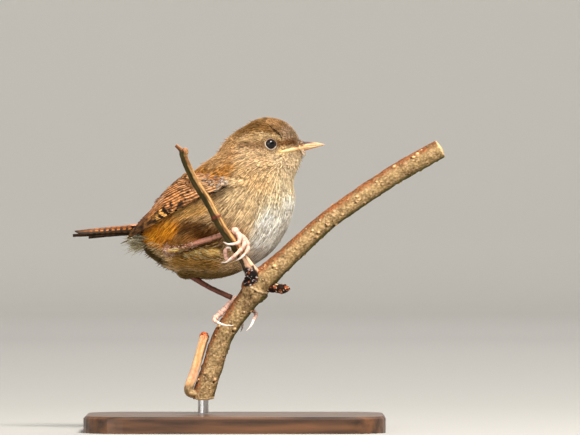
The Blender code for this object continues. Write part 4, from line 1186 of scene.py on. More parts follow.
def vane(heap, place, half_width, narrow, look, cell, rng, lean=0.42, thick=0.1):
    """One broad feather. place gives points from shares along, half widths across and a rise;
    look gives colours and marks from points and both shares."""
    u = 1 - (1 - np.linspace(0, 1, VANE_ALONG)) ** 1.15
    closing = np.clip((u - narrow) / (1 - narrow), 0, 1)
    breadth = half_width * (0.45 + 0.55 * soft(u / 0.28)) * np.sqrt(np.clip(1 - closing ** 2.2, 0, 1))
    breadth = np.maximum(breadth, 0.03)
    ragged = 1 - 0.05 * rng.random((2, len(u)))
    for side in (0, 1):
        for _ in range(rng.integers(1, 4)):
            ragged[side, rng.integers(len(u) // 2, len(u) - 2)] -= rng.uniform(0.08, 0.22)
    across = np.tile(VANE_ACROSS, (len(u), 1))
    across[:, (0, -1)] *= ragged.T
    rows, columns = across.shape
    flat_u, flat_v = np.repeat(u, columns), across.ravel()
    reach = flat_v * np.repeat(breadth, columns)
    shaft = bell(flat_v - VANE_RACHIS, 0.045) * (1 - 0.7 * flat_u)
    relief = 0.07 * shaft + 0.02 * np.sin(flat_v * 9 + flat_u * 40)
    dip = lean * (flat_v + 1) / 2 + 0.09 * half_width * flat_v ** 2
    sheets = [place(flat_u, reach, -dip + thick / 2 + relief), place(flat_u, reach, -dip - thick / 2)]
    colour, mark = look(sheets[0], flat_u, flat_v)
    colour = colour * (1 - 0.3 * shaft[:, None])
    corner, size = cell
    places = corner + size * rows_of(0.04 + 0.42 * (flat_v + 1) / 2, 0.04 + 0.92 * flat_u)
    # painted shade: the sheet under each feather is a darker copy of its top
    heap.add(np.vstack(sheets), slab_faces(rows, columns), np.vstack([colour, colour * 0.7]),
             np.vstack([mark, mark]), np.vstack([places, places + (size * 0.5, 0)]))


def vane_look(outer, inner, bars, pitch, tip_colour, tip_start, axis, rng, blotched=False):
    """How one feather is coloured: its webs, edges darkened with painted shade where the feathers overlap,
    tip, and bars counted along an axis.
    """
    jitter, bright = rng.normal(0, 0.08 + 0.25 * (1 - bars)), rng.uniform(0.82, 1.15)

    def look(points, u, v):
        web = soft((v - VANE_RACHIS + 0.06) / 0.12)
        # painted shade: the edges darken where one feather lies over the next
        edge = 1 - 0.72 * soft((np.abs(v) - 0.74) / 0.22)
        streak = 1 + 0.22 * np.sin(v * 13 + jitter * 30) + 0.16 * noise(points, 0.8, 41)
        colour = layered(outer, (inner, web)) * (bright * edge * streak)[:, None]
        tip = soft((u - tip_start) / 0.3) * (0.86 + 0.08 * web - 0.5 * bell(v + 0.6, 0.13) * (1 - u))
        speckle = speckles(points, 0.3, 0.22, (0.75, 45, 1), (0.35, 46, 0.4))
        colour = layered(colour, (tip_colour, tip)) * (1 - 0.5 * speckle)[:, None]
        if blotched:
            colour = layered(colour, (BLOTCH_COLOUR, blotch_share(points)))
        wave = points @ axis / pitch + jitter + 0.15 * np.abs(v)
        strength = bars * (1 - 0.4 * web) * (1 - tip)
        return colour, rows_of(wave, v, np.clip(strength, 0, 1))

    return look


def blotch_share(points):
    """How dark the blotches along the wing's lower edge are at each point."""
    x, z, _ = seen(points)
    from_edge = np.abs(z - np.interp(x, *zip(*BLOTCH_LINE)))
    blotches = 0.92 * speckles(points, 0.02, 0.22, (1.5, 43, 1), (0.7, 44, 0.6))
    return blotches * (1 - soft((from_edge - 1.3) / 1.1)) * (x > BLOTCH_LINE[0][0]) * (x < BLOTCH_LINE[-1][0])


def cells(count):
    """Squares of a map, one for each of count feathers."""
    rows = math.ceil(math.sqrt(count))
    return iter([(np.array((i % rows, i // rows)) / rows, 1 / rows) for i in range(count)])


def wing_vane(heap, side, way, half_width, rises, narrow, look, cell, rng):
    """One feather of a closed wing. way has its root, middle and tip as height and degrees."""
    root, middle, tip = [np.array((height, side * math.radians(degrees))) for height, degrees in way]

    def path(u):
        u = np.asarray(u)[..., None]
        return root * (1 - u) ** 2 + middle * 2 * u * (1 - u) + tip * u * u

    steps = np.linspace(0, 1, 40)
    points, outward, up, onward = wing_frame(*path(steps).T)
    aside = unit(np.cross(outward, np.gradient(points, axis=0))) * side
    shifts = np.array([np.linalg.lstsq(np.array(ways).T, goal, rcond=None)[0]
                       for *ways, goal in zip(up, onward, aside)])

    def place(u, reach, rise):
        shift = rows_of(*[np.interp(u, steps, some) for some in shifts.T])
        point, out, _, _ = wing_frame(*(path(u) + shift * reach[:, None]).T)
        rise = rise - 0.25 * (1 - u) ** 2 + rises[0] + (rises[1] - rises[0]) * u
        return point + out * rise[:, None]

    vane(heap, place, half_width, narrow, look, cell, rng)


ARM_STEPS = 16


def make_wing(name, side):
    rng = np.random.default_rng(21)
    heap = Heap()
    homes = cells(sum(row[0] for row in WING_ROWS.values()))
    for count, half_width, low, high, narrow, *rest in WING_ROWS.values():
        first_root, last_root, first_tip, last_tip = [np.array(end) for end in rest[:4]]
        outer, inner, first_bars, last_bars, pitch, tip_colour, tip_start = rest[4:]
        for number in range(count):
            share = number / (count - 1)
            root = first_root + (last_root - first_root) * share
            tip = first_tip + (last_tip - first_tip) * share + rng.normal(0, 0.006, 2)
            way = [wing_spot(*spot) for spot in (root, (root + tip) / 2, tip)]
            rises = [rise + 0.025 * number for rise in (low, high)]
            bars = first_bars + (last_bars - first_bars) * share
            look = vane_look(outer, inner, bars, pitch, tip_colour, tip_start, WING_AXIS, rng, True)
            wing_vane(heap, side, way, half_width, rises, narrow, look, next(homes), rng)
    arm = []
    steps = np.linspace(0, 1, ARM_STEPS)
    for height_over, u, v in itertools.product((0.75, 0), steps, steps):
        start = 0.14 * (2 * v - 1) ** 2
        height, degrees = wing_spot((start + (1 - start) * u) * 0.46, 0.05 + 0.88 * v)
        point, out, _, _ = wing_frame(height, side * math.radians(degrees))
        arm.append(point + out * (0.55 + height_over * min(1, 6 * min(v, 1 - v, 1 - u, u + 0.1))))
    heap.add(arm, slab_faces(ARM_STEPS, ARM_STEPS), linear((120, 78, 44)))
    mend(heap.make(name + "_feathers", VANE_LOOK, "flight_feathers", (name,)), merged=False, outward=True)


SPOTTED = (-4.6, 73.2, 4.6, 3.4)  # where the coverts are spotted: X, Z and half sizes
# Marks on the spotted and the streaked coverts: the draws that get one and its colour
SPOT_MARKS = ((0, 0.3, (226, 208, 190)), (0.72, 1, (62, 46, 40)), (0.3, 0.42, (156, 148, 156)))
STREAK_MARKS = ((0, 0.25, (206, 156, 122)), (0.8, 1, (96, 58, 40)))


def make_shoulder(shell, name, side):
    """Small feathers of the shoulder that lie over the front and upper edges of a wing."""
    rng = np.random.default_rng(5)
    spots, rises = [], []
    for _ in range(420):
        along, across = rng.uniform(-0.05, 0.17), rng.uniform(-0.02, 1.02)
        spots.append((along, across))
        rises.append(np.clip((along + 0.05) / 0.12, 0, 1))
    for _ in range(330):
        along, across = rng.uniform(0.0, 0.5), rng.uniform(0.9, 1.12)
        spots.append((along, across))
        rises.append(np.clip((1.12 - across) / 0.2, 0, 1))
    ends = []
    for along, across in spots:
        here, there = wing_spot(max(along, 0), across), wing_spot(max(along, 0) + 0.2, across)
        here = here + (there - here) * min(along, 0) * 5
        ends.append([on_slice(height, side * math.radians(degrees), *wing_slice(height))
                     for height, degrees in (here, there)])
    roots, tips = np.array(ends).transpose(1, 0, 2)
    rises = np.array(rises)
    x, z, _ = seen(roots)
    share = np.clip(np.array(spots)[:, :1] / 0.1, 0, 1)
    way = unit(unit(tips - roots) * share + lie_of(x, z, roots) * (1, -side, 1) * (1 - share))
    tint = painted(x, z, roots)
    spotted = np.hypot((x - SPOTTED[0]) / SPOTTED[2], (z - SPOTTED[1]) / SPOTTED[3]) < 1
    draw = rng.random(len(roots))
    for among, marks in ((spotted, SPOT_MARKS), (~spotted & (roots[:, 0] < -6), STREAK_MARKS)):
        for low, high, colour in marks:
            tint[among & (draw > low) & (draw < high)] = linear(colour)
    length = rng.uniform(2.2, 3.2, len(roots)) * np.where(spotted, 0.6, 1.0)
    breadth = length * np.where(spotted, 0.24, 0.4)
    heap = Heap()
    for low in (0.0, 0.34, 0.67):
        some = (rises >= low) & (rises < low + 0.34)
        rise = 0.4 + 1.6 * (low + 0.17)
        depth, streak, change = [np.full(some.sum(), value) for value in (0.5, 0.3, 0.26)]
        feathers(heap, shell, roots[some], way[some], length[some], breadth[some], depth, 10, rng,
                 tint[some], streak, change, (rise - 0.3, rise + 0.2))
    heap.make(name, COAT_LOOK, "body_feathers")


# Tail

def tail_point(along, aside, rise):
    x = TAIL_ROOT[0] - along * math.cos(TAIL_DROP) * math.cos(TRUNK_TURN)
    root_depth = TRUNK_DEPTH - math.tan(TRUNK_TURN) * TAIL_ROOT[0]
    y = root_depth + along * math.cos(TAIL_DROP) * math.sin(TRUNK_TURN)
    z = TAIL_ROOT[1] - along * math.sin(TAIL_DROP) + rise
    return np.stack([x + aside * math.sin(TRUNK_TURN), y + aside * math.cos(TRUNK_TURN), z + 0 * x], axis=-1)


def tail_vane(heap, root, tip, half_width, look, cell, rng, narrow=0.8, lean=0.0, droop=0.2):
    root, tip = np.array(root), np.array(tip)
    outer_side = math.copysign(1, tip[1]) if tip[1] else 1

    def place(u, reach, rise):
        along, aside, _ = (root + (tip - root) * np.asarray(u)[:, None]).T
        up = root[2] + (tip[2] - root[2]) * u * u
        return tail_point(along, aside - outer_side * reach, up + rise - droop * np.abs(reach) ** 1.5)

    vane(heap, place, half_width, narrow, look, cell, rng, lean)


# The outer web's colour of each pair of tail feathers, from the middle pair out, and the bars on it; the
# outer three pairs, lowest in the fan, are dark with painted shade
TAIL_PAIRS = (
    ((168, 104, 60), 0.45), ((150, 88, 48), 0.6), ((196, 122, 52), 1.0),
    ((54, 34, 18), 0.5), ((40, 26, 14), 0.5), ((40, 28, 18), 0.4),
)
# Other feathers at the tail. A group has its outer, inner and tip colours, its bars' strength and
# pitch, where the tip's colour starts, where the feather narrows, its lean and droop, and then each
# feather's root, tip and half width
TAIL_GROUPS = (
    ((120, 84, 44), (60, 42, 24), (56, 42, 26), 0.6, 1.7, 0.7, 0.5, 0.85, 0.0, (
        ((6, -4.0, -0.7), (26.6, -6.4, -0.55), 0.6), ((5, -3.0, -1.0), (21.8, -5.6, -1.35), 0.6))),
    ((204, 148, 112), (170, 108, 66), (206, 150, 116), 0.3, 1.3, 0.7, 0.6, 0.0, 0.2, (
        ((0, 0, 1.5), (11.0, 0.3, 1.35), 1.5), ((0, 1.2, 1.2), (9.5, 1.6, 1.1), 1.4),
        ((0, -1.2, 1.2), (9.5, -1.6, 1.1), 1.4), ((0, 0.5, 1.6), (7.6, 0.8, 1.6), 1.3),
        ((0, -0.6, 1.6), (7.0, -1.0, 1.6), 1.3))),
    ((188, 170, 126), (140, 120, 80), (214, 202, 168), 0.4, 1.5, 0.8, 0.5, 0.0, 0.2, (
        ((0, 0, -1.3), (13.6, 0, -4.2), 1.2), ((0, 1.3, -1.2), (11.0, 1.5, -3.2), 1.1),
        ((0, -1.3, -1.2), (11.0, -1.5, -3.2), 1.1), ((0, 0.6, -1.4), (9.0, 0.7, -3.9), 1.1))),
)
TAIL_CELLS = 28


def make_tail():
    rng = np.random.default_rng(31)
    heap = Heap()
    homes = cells(TAIL_CELLS)
    axis = np.array((1.0, 0.0, 0.0))
    for pair, (colour, bars) in enumerate(TAIL_PAIRS):
        for side in (-1, 1):
            look = vane_look(colour, (64, 38, 20), bars, 1.7, (40, 26, 14), 0.68, axis, rng)
            root = (0, side * (0.25 + 0.32 * pair), 1.25 - 0.46 * pair)
            end = 0.45 - 0.2 * pair - 0.04 * side
            tip = (TAIL_LENGTH - 0.5 * pair ** 1.2, side * (0.4 + 0.95 * pair), end)
            tail_vane(heap, root, tip, 1.5, look, next(homes), rng)
    for outer, inner, end, bars, pitch, start, narrow, lean, droop, vanes in TAIL_GROUPS:
        for root, tip, half_width in vanes:
            look = vane_look(outer, inner, bars, pitch, end, start, axis, rng)
            tail_vane(heap, root, tip, half_width, look, next(homes), rng, narrow, lean, droop)
    mend(heap.make("tail_feathers", VANE_LOOK, "flight_feathers", ("tail",)), merged=False, outward=True)


# Groups of wisps: where one starts as X, Z from the side, where it points, how many, their length
# and their colour
WISPS = (
    ((-26.5, 57.6), (-1.0, -0.06), 170, 7.0, (228, 216, 180)),
    ((-27.0, 56.0), (-1.0, -0.3), 130, 6.0, (216, 202, 160)),
    ((-26.5, 56.6), (-1.0, -0.15), 60, 6.5, (130, 108, 66)),
    ((-25.0, 60.0), (-1.0, -0.35), 60, 3.0, (220, 150, 70)),
    ((-25.5, 52.6), (-0.9, -0.45), 50, 2.2, (120, 100, 50)),
    ((19.0, 83.6), (0.85, -0.5), 60, 1.5, (232, 208, 176)),
    ((19.0, 82.4), (0.6, -0.85), 60, 1.9, (226, 200, 164)),
    ((18.7, 80.6), (0.45, -1.0), 46, 2.0, (232, 208, 172)),
    ((17.9, 78.6), (0.25, -1.0), 26, 1.9, (228, 200, 158)),
    ((-2.0, 87.6), (-1.0, 0.1), 44, 1.8, (196, 150, 104)),
    ((-3.2, 84.4), (-1.0, -0.1), 44, 1.8, (200, 152, 104)),
    ((0.5, 90.4), (-1.0, 0.25), 36, 1.7, (182, 138, 92)),
    ((4.6, 93.0), (-1.0, 0.35), 34, 1.6, (172, 130, 86)),
    ((17.6, 89.0), (0.25, 0.9), 24, 1.1, (182, 150, 120)),
    ((16.0, 91.2), (-0.4, 0.9), 22, 1.0, (176, 140, 104)),
    ((-3.6, 80.6), (-1.0, 0.1), 40, 1.9, (190, 144, 96)),
    ((-18.5, 49.0), (-1.0, -0.3), 90, 2.4, (110, 88, 50)),
    ((-13.5, 46.6), (-1.0, -0.35), 90, 2.2, (104, 82, 46)),
    ((-2.5, 46.8), (-0.9, -0.5), 90, 2.0, (112, 90, 52)),
)


def make_wisps(shell):
    """Loose down and long wisps that stand off the vent, the chin, the nape and the belly."""
    rng = np.random.default_rng(17)
    heap = Heap()
    for (x, z), way, count, length, colour in WISPS:
        starts = []
        for _ in range(count):
            height = z + rng.normal(0, 0.7)
            middle, *sizes = slice_at(height)
            angle = rng.normal(0, 0.28) if x > middle else math.pi + rng.normal(0, 0.3)
            starts.append(on_slice(height, angle, middle, *sizes))
        starts = np.array(starts)
        starts[:, 0] = starts[:, 0] * 0.9 + x * 0.1
        where, outward = shell.settle(starts)
        turn = TRUNK_TURN * (1 - slice_at(starts[:, 2])[3])
        ahead = unit(rows_of(way[0] * np.cos(turn), -way[0] * np.sin(turn), way[1]))
        ahead = unit(ahead + rng.normal(0, 0.13, (count, 3)))
        long = length * rng.uniform(0.45, 1.1, count)
        bend = (rng.normal(0, 0.14, (count, 3)) + (0, 0, 0.03)) * long[:, None]
        wave = rng.normal(0, 0.05, (count, 3)) * (0.4, 0.4, 1) * long[:, None]
        shares = SLIVER_SHARES[:, None]
        centres = stems(where - outward * 0.7, ahead, long)
        centres = centres + bend[:, None] * shares ** 2 + wave[:, None] * np.sin(shares * 5.5)
        sideways = np.tile(np.array((0.0, -1.0, 0.25)), (count, 4, 1))
        tint = linear(colour) * rng.uniform(0.4, 1.15, count)[:, None]
        slivers(heap, centres, sideways, rng.uniform(0.05, 0.11, count), tint, coat_map(where))
    heap.make("wisps", COAT_LOOK, "body_feathers")


# Legs

SCUTE = 1.35  # length of a shank's scale
TOE_SCALE = 0.42
TOE_JOINT = 2.3


def make_shank(name, rows, colour, cad):
    def shape(along, turned, radius):
        front = soft((np.cos(turned - 0.6) + 0.35) / 0.5)
        step = (along / SCUTE) % 1
        return radius * (1 + front * (0.1 * step - 0.04)) + 0.02 * np.sin(turned * 5 + along * 2.2)

    points, faces, along, _, outward = sweep(rows, 28, 18, shape)
    skin = linear(colour)
    seam = bell((along / SCUTE) % 1 - 0.04, 0.09)
    tint = skin * ((1 - 0.55 * seam) * (1 + 0.2 * noise(points, 0.7, 4)))[:, None]
    # painted highlight: a pale band low on the shank's near side
    pale = bell(outward[:, 2] + 0.25, 0.3) * (outward[:, 1] < 0) * 0.5
    ridge = soft((outward[:, 2] - 0.4) / 0.3) * soft((-9.0 - points[:, 0]) / 2) * 0.75
    tint = layered(tint, (skin * 1.7, pale), (skin * (0.8, 0.32, 0.22), ridge))
    single(name, SCALE_LOOK, "leg_skin", (cad,), points, faces, tint)


def loose_slivers(name, roots, way, length, half_width, tint):
    """A piece of slivers that start at roots, go their own ways and lie free of the coat."""
    up = unit(np.cross(np.cross(way, (0.0, -1.0, 0.2)), way))
    sag = (up * (0.5, 0.0, 1.0) * (0.12 * length)[:, None])[:, None] * (SLIVER_SHARES ** 2)[:, None]
    centres = stems(roots, way, length) - sag
    coat_piece(name, centres, np.repeat(up[:, None], 4, axis=1), half_width, tint, coat_map(roots))


def make_belly_tips(shell):
    """Long pale tips over the near side of the belly."""
    rng = np.random.default_rng(51)
    count = 2600
    x, z = rng.uniform(-16.5, -3.6, count), rng.normal(50.1, 1.5, count)
    start, outward = shell.settle(rows_of(x, np.interp(x, (-16, -3), (-6.0, -10.0)), z))
    way = unit(rows_of(-1.0, 0.0, 0.12 - 0.12 * (z - 50.4)) + rng.normal(0, 0.12, (count, 3)))
    way = unit(way - outward * np.sum(way * outward, axis=1, keepdims=True) + outward * 0.06)
    clump = noise(start * (0.5, 1, 1), 0.6, 71)
    bright = np.where(clump > rng.normal(-0.1, 0.15, count), 1.0, 0.34)
    bright = 1.2 * bright * np.interp(np.abs(z - 50.4), (1.0, 3.0), (1.0, 0.45))
    long, breadth = rng.uniform(2.2, 4.2, count), rng.uniform(0.08, 0.15, count)
    tint = pick(rng, count, (250, 206, 122), (238, 180, 92), (255, 234, 184), (206, 144, 64))
    loose_slivers("belly_tips", start - outward * 0.05, way, long, breadth, tint * bright[:, None])


def make_bill_feathers(shell):
    """Short feathers round the root of the bill, that point over it."""
    rng = np.random.default_rng(52)
    count = 900
    turn = rng.uniform(0, 2 * math.pi, count)
    beside = np.abs(np.sin(turn)) < 0.4
    turn = np.where(beside, turn + np.sign(np.cos(turn) * (0.5 - rng.random(count))) * 0.8, turn)
    up, aside = np.sin(turn), np.cos(turn)
    reach = np.where(up > 0, 1.6, 1.5) + rng.normal(0, 0.3, count)
    start, outward = shell.settle(rows_of(19.6, HEAD_DEPTH + reach * 1.05 * aside, 85.25 + reach * up))
    way = rows_of(np.where(up < -0.3, 0.75, 0.95), 0.22 * aside, np.where(up > 0, -0.22, -0.5))
    way = unit(way + rng.normal(0, 0.13, (count, 3)))
    below = pick(rng, count, (250, 232, 206), (230, 204, 170), (206, 172, 134), (134, 106, 80))
    above = pick(rng, count, (176, 146, 120), (140, 104, 74), (206, 178, 150), (96, 70, 54))
    tint = layered(below, (above, np.clip(up + 0.35, 0, 1)))
    long, breadth = rng.uniform(0.7, 1.5, count), rng.uniform(0.045, 0.08, count)
    loose_slivers("bill_feathers", start - outward * 0.15, way, long, breadth, tint)


def make_heel_tuft():
    """Small pinkish feathers that end the leg's coat over the near heel."""
    rng = np.random.default_rng(41)
    rows = open_curve(RIGHT_SHANK, 12)
    ahead = unit(rows[14, :3] - rows[0, :3])
    side = unit(np.cross(ahead, (0, 0, 1.0)))
    up = np.cross(side, ahead)
    count = 900
    at = rng.uniform(0, 1, count) ** 1.2
    angle = rng.uniform(0, 2 * math.pi, count)[:, None]
    row = rows[(at * 20).astype(int)]
    outward = side * np.cos(angle) + up * np.sin(angle)
    start = row[:, :3] + outward * (row[:, 3:] * 1.15)
    way = unit(ahead + outward * (0.55 - 0.35 * at[:, None]) + rng.normal(0, 0.16, (count, 3)))
    long = rng.uniform(1.2, 2.4, count) * (1 - 0.3 * at)
    tint = pick(rng, count, (240, 196, 166), (214, 150, 110), (252, 228, 204), (150, 96, 62))
    coat_piece("heel_tuft", stems(start, way, long), np.repeat(outward[:, None], 4, axis=1),
               rng.uniform(0.07, 0.13, count), tint, coat_map(start))


def make_foot(side, sole, toes, colour, claw_colour, cad):
    """The toes with their joints, scales and pads, and the claws as a piece of their own."""
    skin, claws, flesh_tint = Heap(), Heap(), linear(colour)

    def knuckled(along, turned, radius):
        joint = np.cos(along * 2 * math.pi / TOE_JOINT)
        return radius * (1 + 0.12 * joint + 0.08 * ((along / TOE_SCALE) % 1 - 0.5))

    for toe in toes:
        points, faces, along, _, _ = sweep(toe[:-2], 18, 9, knuckled)
        shade = (1 - 0.45 * bell((along / TOE_SCALE) % 1, 0.2)) * (1 + 0.2 * noise(points, 0.6, 8))
        skin.add(points, faces, flesh_tint * shade[:, None])
        points, faces, along, _, _ = sweep(toe[-3:], 14, 10)
        claws.add(points, faces, linear(claw_colour) * (1 - 0.25 * soft(along / along.max()))[:, None])
    ball, shape = sphere(24, 32)
    ball = ball[:, (0, 2, 1)] * (1, 0.87, 1)
    folds = np.sin(np.arccos(np.clip(ball[:, 1] / 0.87, -1, 1)) * 9)
    # painted shade: the sole is darker in the creases between its folds
    skin.add(np.array(sole) + ball * (1.15 + 0.05 * folds)[:, None], shape,
             flesh_tint * (1 - 0.4 * soft((-folds - 0.2) / 0.5))[:, None])
    mend(skin.make(f"toes_{side}", SCALE_LOOK, "leg_skin", (cad,), False), outward=True)
    claws.make(f"claws_{side}", CLAW_LOOK, "leg_skin", mapped=False)


# Perch

COLLAR = (4.3, -6.2, 46.6)
COLLAR_RADIUS = 3.9


def collar_layer(points):
    """The dark crust round the twig's root, with orange spots and pale painted glints: its colours and how
    much of it lies at each point.
    """
    crust = linear((24, 16, 14)) * (1 + 0.6 * noise(points, 0.5, 18))[:, None]
    crust = layered(crust, ((160, 84, 44), speckles(points, 0.42, 0.25, (0.7, 14, 1), (0.33, 17, 0.5))),
                    # painted highlights: small pale glints on the crust
                    ((206, 190, 186), speckles(points, 0.52, 0.12, (0.36, 15, 1))))
    away = np.linalg.norm((points - COLLAR) / (1.0, 1.2, 0.95), axis=1)
    return crust, soft((COLLAR_RADIUS - away + 0.8 * noise(points, 0.9, 3)) / 1.1)


WARTS = 170
BARK_LENGTH = 110.0  # as far along the branch as the warts go


def make_branch():
    rng = np.random.default_rng(9)
    heap = Heap()
    warts = rows_of(rng.uniform(1, BARK_LENGTH, WARTS), rng.uniform(0, 2 * math.pi, WARTS),
                    0.2 + 0.45 * rng.random(WARTS) ** 2)
    found = {}

    def rough_bark(along, turned, radius):
        raised, pits = np.zeros(len(along)), np.zeros(len(along))
        for at, angle, size in warts:
            aside = ((turned - angle + math.pi) % (2 * math.pi) - math.pi) * radius
            raised = np.maximum(raised, bell(np.hypot(along - at, aside), size))
            pits = np.maximum(pits, bell(np.hypot(along - at + size * 1.5, aside), size * 0.8))
        found["raised"], found["pits"] = raised, pits
        flat = unrolled(along, turned, radius)
        relief = rough(flat, (1.6, 1, 0.09), (0.7, 2, 0.05), (0.32, 6, 0.04))
        relief += 0.06 * noise(flat * (0.25, 1, 1), 0.8, 7)
        return radius - 0.12 + relief + 0.3 * raised - 0.28 * pits

    points, faces, along, _, outward = sweep(BRANCH, 84, 42, rough_bark)
    raised, pits = [np.append(found[name], (0, 0)) for name in ("raised", "pits")]
    cut = (along <= 0) | (along >= along.max())
    heap.add(points, faces, bark_colour(points, outward, raised, pits, cut))
    ball, shape = sphere(60, 80)
    centre, radii = np.array(KNOT)
    lumps = rough(ball * 4, (1.3, 5, 0.3), (0.5, 6, 0.16), (0.2, 2, 0.06))
    knot = centre + ball * (radii + (lumps - 0.15)[:, None])
    nowhere = np.zeros(len(knot), bool)
    # painted shade: the knot's hollows between its lumps are passed as pits and darkened
    heap.add(knot, shape, bark_colour(knot, ball, 0 * lumps, soft((-lumps - 0.12) / 0.2), nowhere))
    mend(heap.make("bark", BARK_LOOK, "branch_bark", ("perch_branch",), False))


# The seam of bark under the knot: X and Z of its line, and how far it goes
SEAM = ((3.5, 6.0, 9.5, 13.5), (44.2, 42.0, 40.9, 41.2))
SEAM_ENDS = (3.0, 13.6)
SEAM_DEPTH = -4.0


def bark_colour(points, outward, raised, pits, cut):
    """Bark with warts, pits darkened with painted shade and its green underside, and bare wood where it is
    cut.
    """
    blotch = rough(points, (2.2, 21, 0.22), (0.8, 22, 0.3), (0.34, 23, 0.55))
    tone = blotch[:, None]
    facing = outward[:, 2] * 0.8 - outward[:, 0] * 0.6
    x, y, z = points.T
    line = z - np.interp(x, *SEAM) + 0.35 * noise(points, 1.0, 27)
    near = (x > SEAM_ENDS[0]) & (x < SEAM_ENDS[1]) & (y < SEAM_DEPTH)
    upper = linear((112, 60, 30)) * np.clip(1 + 1.1 * tone, 0.25, 2)
    tint = layered(
        linear((148, 122, 84)) * np.clip(1 + 0.75 * tone, 0.2, 2.2),
        ((84, 52, 28), 0.42 * speckles(points, 0.25, 0.35, (1.5, 24, 1), (0.4, 25, 0.9))),
        ((208, 172, 134), 0.45 * speckles(points, 0.34, 0.2, (0.4, 26, 1))),
        (upper, 0.85 * soft((facing - 0.3 + 0.45 * blotch) / 0.5)),
        (linear((58, 60, 14)) * (1 + 0.5 * tone), 0.85 * soft((-facing - 0.62 + 0.2 * blotch) / 0.3)),
        ((222, 190, 148), near * bell(line - 0.6, 0.3) * 0.8),
        ((40, 26, 16), near * bell(line, 0.22)),
        ((228, 184, 134), soft((raised - 0.35) / 0.35)),
        # painted shade: the pits are darkened
        ((40, 24, 16), 0.85 * soft((pits - 0.3) / 0.4)),
        collar_layer(points),
    )
    rings = 0.5 + 0.5 * np.sin(np.linalg.norm(points[:, 1:] - points[:, 1:].mean(axis=0), axis=1) * 6)
    return np.where(cut[:, None], linear((206, 176, 130)) * (0.85 + 0.2 * rings)[:, None], tint)


TWIG_LIGHT = unit(np.array((0.88, -0.12, 0.46)))  # the side of the twig that the light falls on; the side away from it is dark with painted shadow


def make_twig():
    def flaws(along, turned, level):
        return speckles(rows_of(along * 0.12, turned * 1.3, 0), level, 0.3, (0.5, 31, 1))

    def shape(along, turned, radius):
        grooves = 0.07 * np.sin(turned * 3 + 0.4) + 0.08 * np.sin(turned * 7 + along * 0.05)
        flat = unrolled(along * 0.2, turned, radius)
        relief = 0.05 * noise(flat, 0.4, 3) + 0.03 * noise(flat * (5, 1, 1), 0.5, 4)
        return radius * 0.97 + grooves - 0.16 * flaws(along, turned, 0.25) + relief

    heap = Heap()
    for rows in (TWIG, TWIG_SPUR):
        points, faces, along, turned, outward = sweep(rows, 40, 22, shape)
        x, _, z = points.T
        stripe = 0.5 + 0.5 * np.sin(turned * 7 + along * 0.05 + 2)
        shade = 0.55 + 0.55 * stripe + 0.16 * noise(points, 0.5, 4)
        shade = shade * (1 + 0.2 * noise(points * (1, 1, 0.5), 0.8, 9))
        lean = outward @ TWIG_LIGHT
        foot = soft((54.0 - z + 1.2 * noise(points, 1.0, 12)) / 2.5)
        shadow = linear((42, 38, 4)) * (1 + 0.35 * noise(points, 0.6, 2))[:, None]
        heap.add(points, faces, layered(
            linear((190, 146, 92)) * shade[:, None],
            ((92, 56, 28), 0.8 * flaws(along, turned, 0.2)),
            (linear((232, 188, 156)) * (0.7 + 0.4 * stripe)[:, None], foot),
            (shadow, 0.95 * soft((-lean + 0.3 - 0.5 * foot + 0.2 * noise(points, 1.2, 3)) / 0.16)),
            ((84, 44, 22), 0.8 * bell(lean - 0.56, 0.06)),
            ((92, 30, 24), 0.9 * bell(z - 64.2 - 0.35 * (x + 5.5), 0.55)),
            collar_layer(points),
            ((120, 66, 40), 0.6 * soft((z - 83.2 + 0.5 * noise(points, 0.6, 1)) / 1.0)),
        ))
    heap.make("twig", STRAW_LOOK, "twig_bark", ("perch_twig",), False)


def make_bud():
    def shape(along, turned, radius):
        flat = unrolled(along, turned, radius)
        return radius - 0.1 + rough(flat, (0.9, 8, 0.3), (0.4, 9, 0.14))

    points, faces, *_ = sweep(BUD, 40, 18, shape)
    bare = speckles(points, 0.3, 0.25, (0.8, 15, 1), (0.35, 19, 0.5))
    pale = soft((noise(points, 0.4, 16) - 0.45 + 0.25 * soft((points[:, 0] - 15.4) / 1.0)) / 0.2)
    tint = layered((34, 20, 14), ((140, 70, 40), bare), ((214, 170, 130), pale))
    single("bud", BARK_LOOK, "branch_bark", ("perch_bud",), points, faces, tint)


def make_shoot():
    def shape(along, turned, radius):
        flat = unrolled(along * 0.15, turned, radius)
        end = 0.5 * soft((along - along.max() + 3.4) / 2.4) * noise(flat * 3, 0.5, 8)
        return radius * 0.97 + 0.12 * noise(flat, 0.5, 2) + 0.05 * np.sin(turned * 6) + end

    points, faces, along, turned, outward = sweep(SIDE_SHOOT, 40, 22, shape)
    z = points[:, 2]
    fibre = noise(rows_of(turned * 2.2, along * 0.08, 0), 0.5, 3)
    bark = bark_colour(points, outward, 0 * along, 0 * along, along < -1)
    single("shoot", STRAW_LOOK, "twig_bark", ("perch_shoot",), points, faces, layered(
        linear((224, 182, 134)) * (1 + 0.25 * fibre)[:, None],
        ((196, 128, 66), 0.7 * soft((fibre - 0.18 + 0.3 * noise(points, 0.5, 9)) / 0.2)),
        (linear((176, 70, 20)) * (1 + 0.7 * noise(points, 0.5, 10))[:, None],
         0.9 * soft((z - 27.0 + 0.8 * noise(points, 0.7, 5)) / 2.2)),
        ((96, 62, 36), 0.85 * soft((outward[:, 0] - 0.55 + 0.3 * fibre) / 0.25)),
        ((220, 166, 140), 0.4 * bell(z - 17.0, 2.4)),
        (bark, soft((14.6 - z + 1.2 * noise(points, 0.8, 6)) / 1.6)),
    ))


# Stand, floor, lights and camera

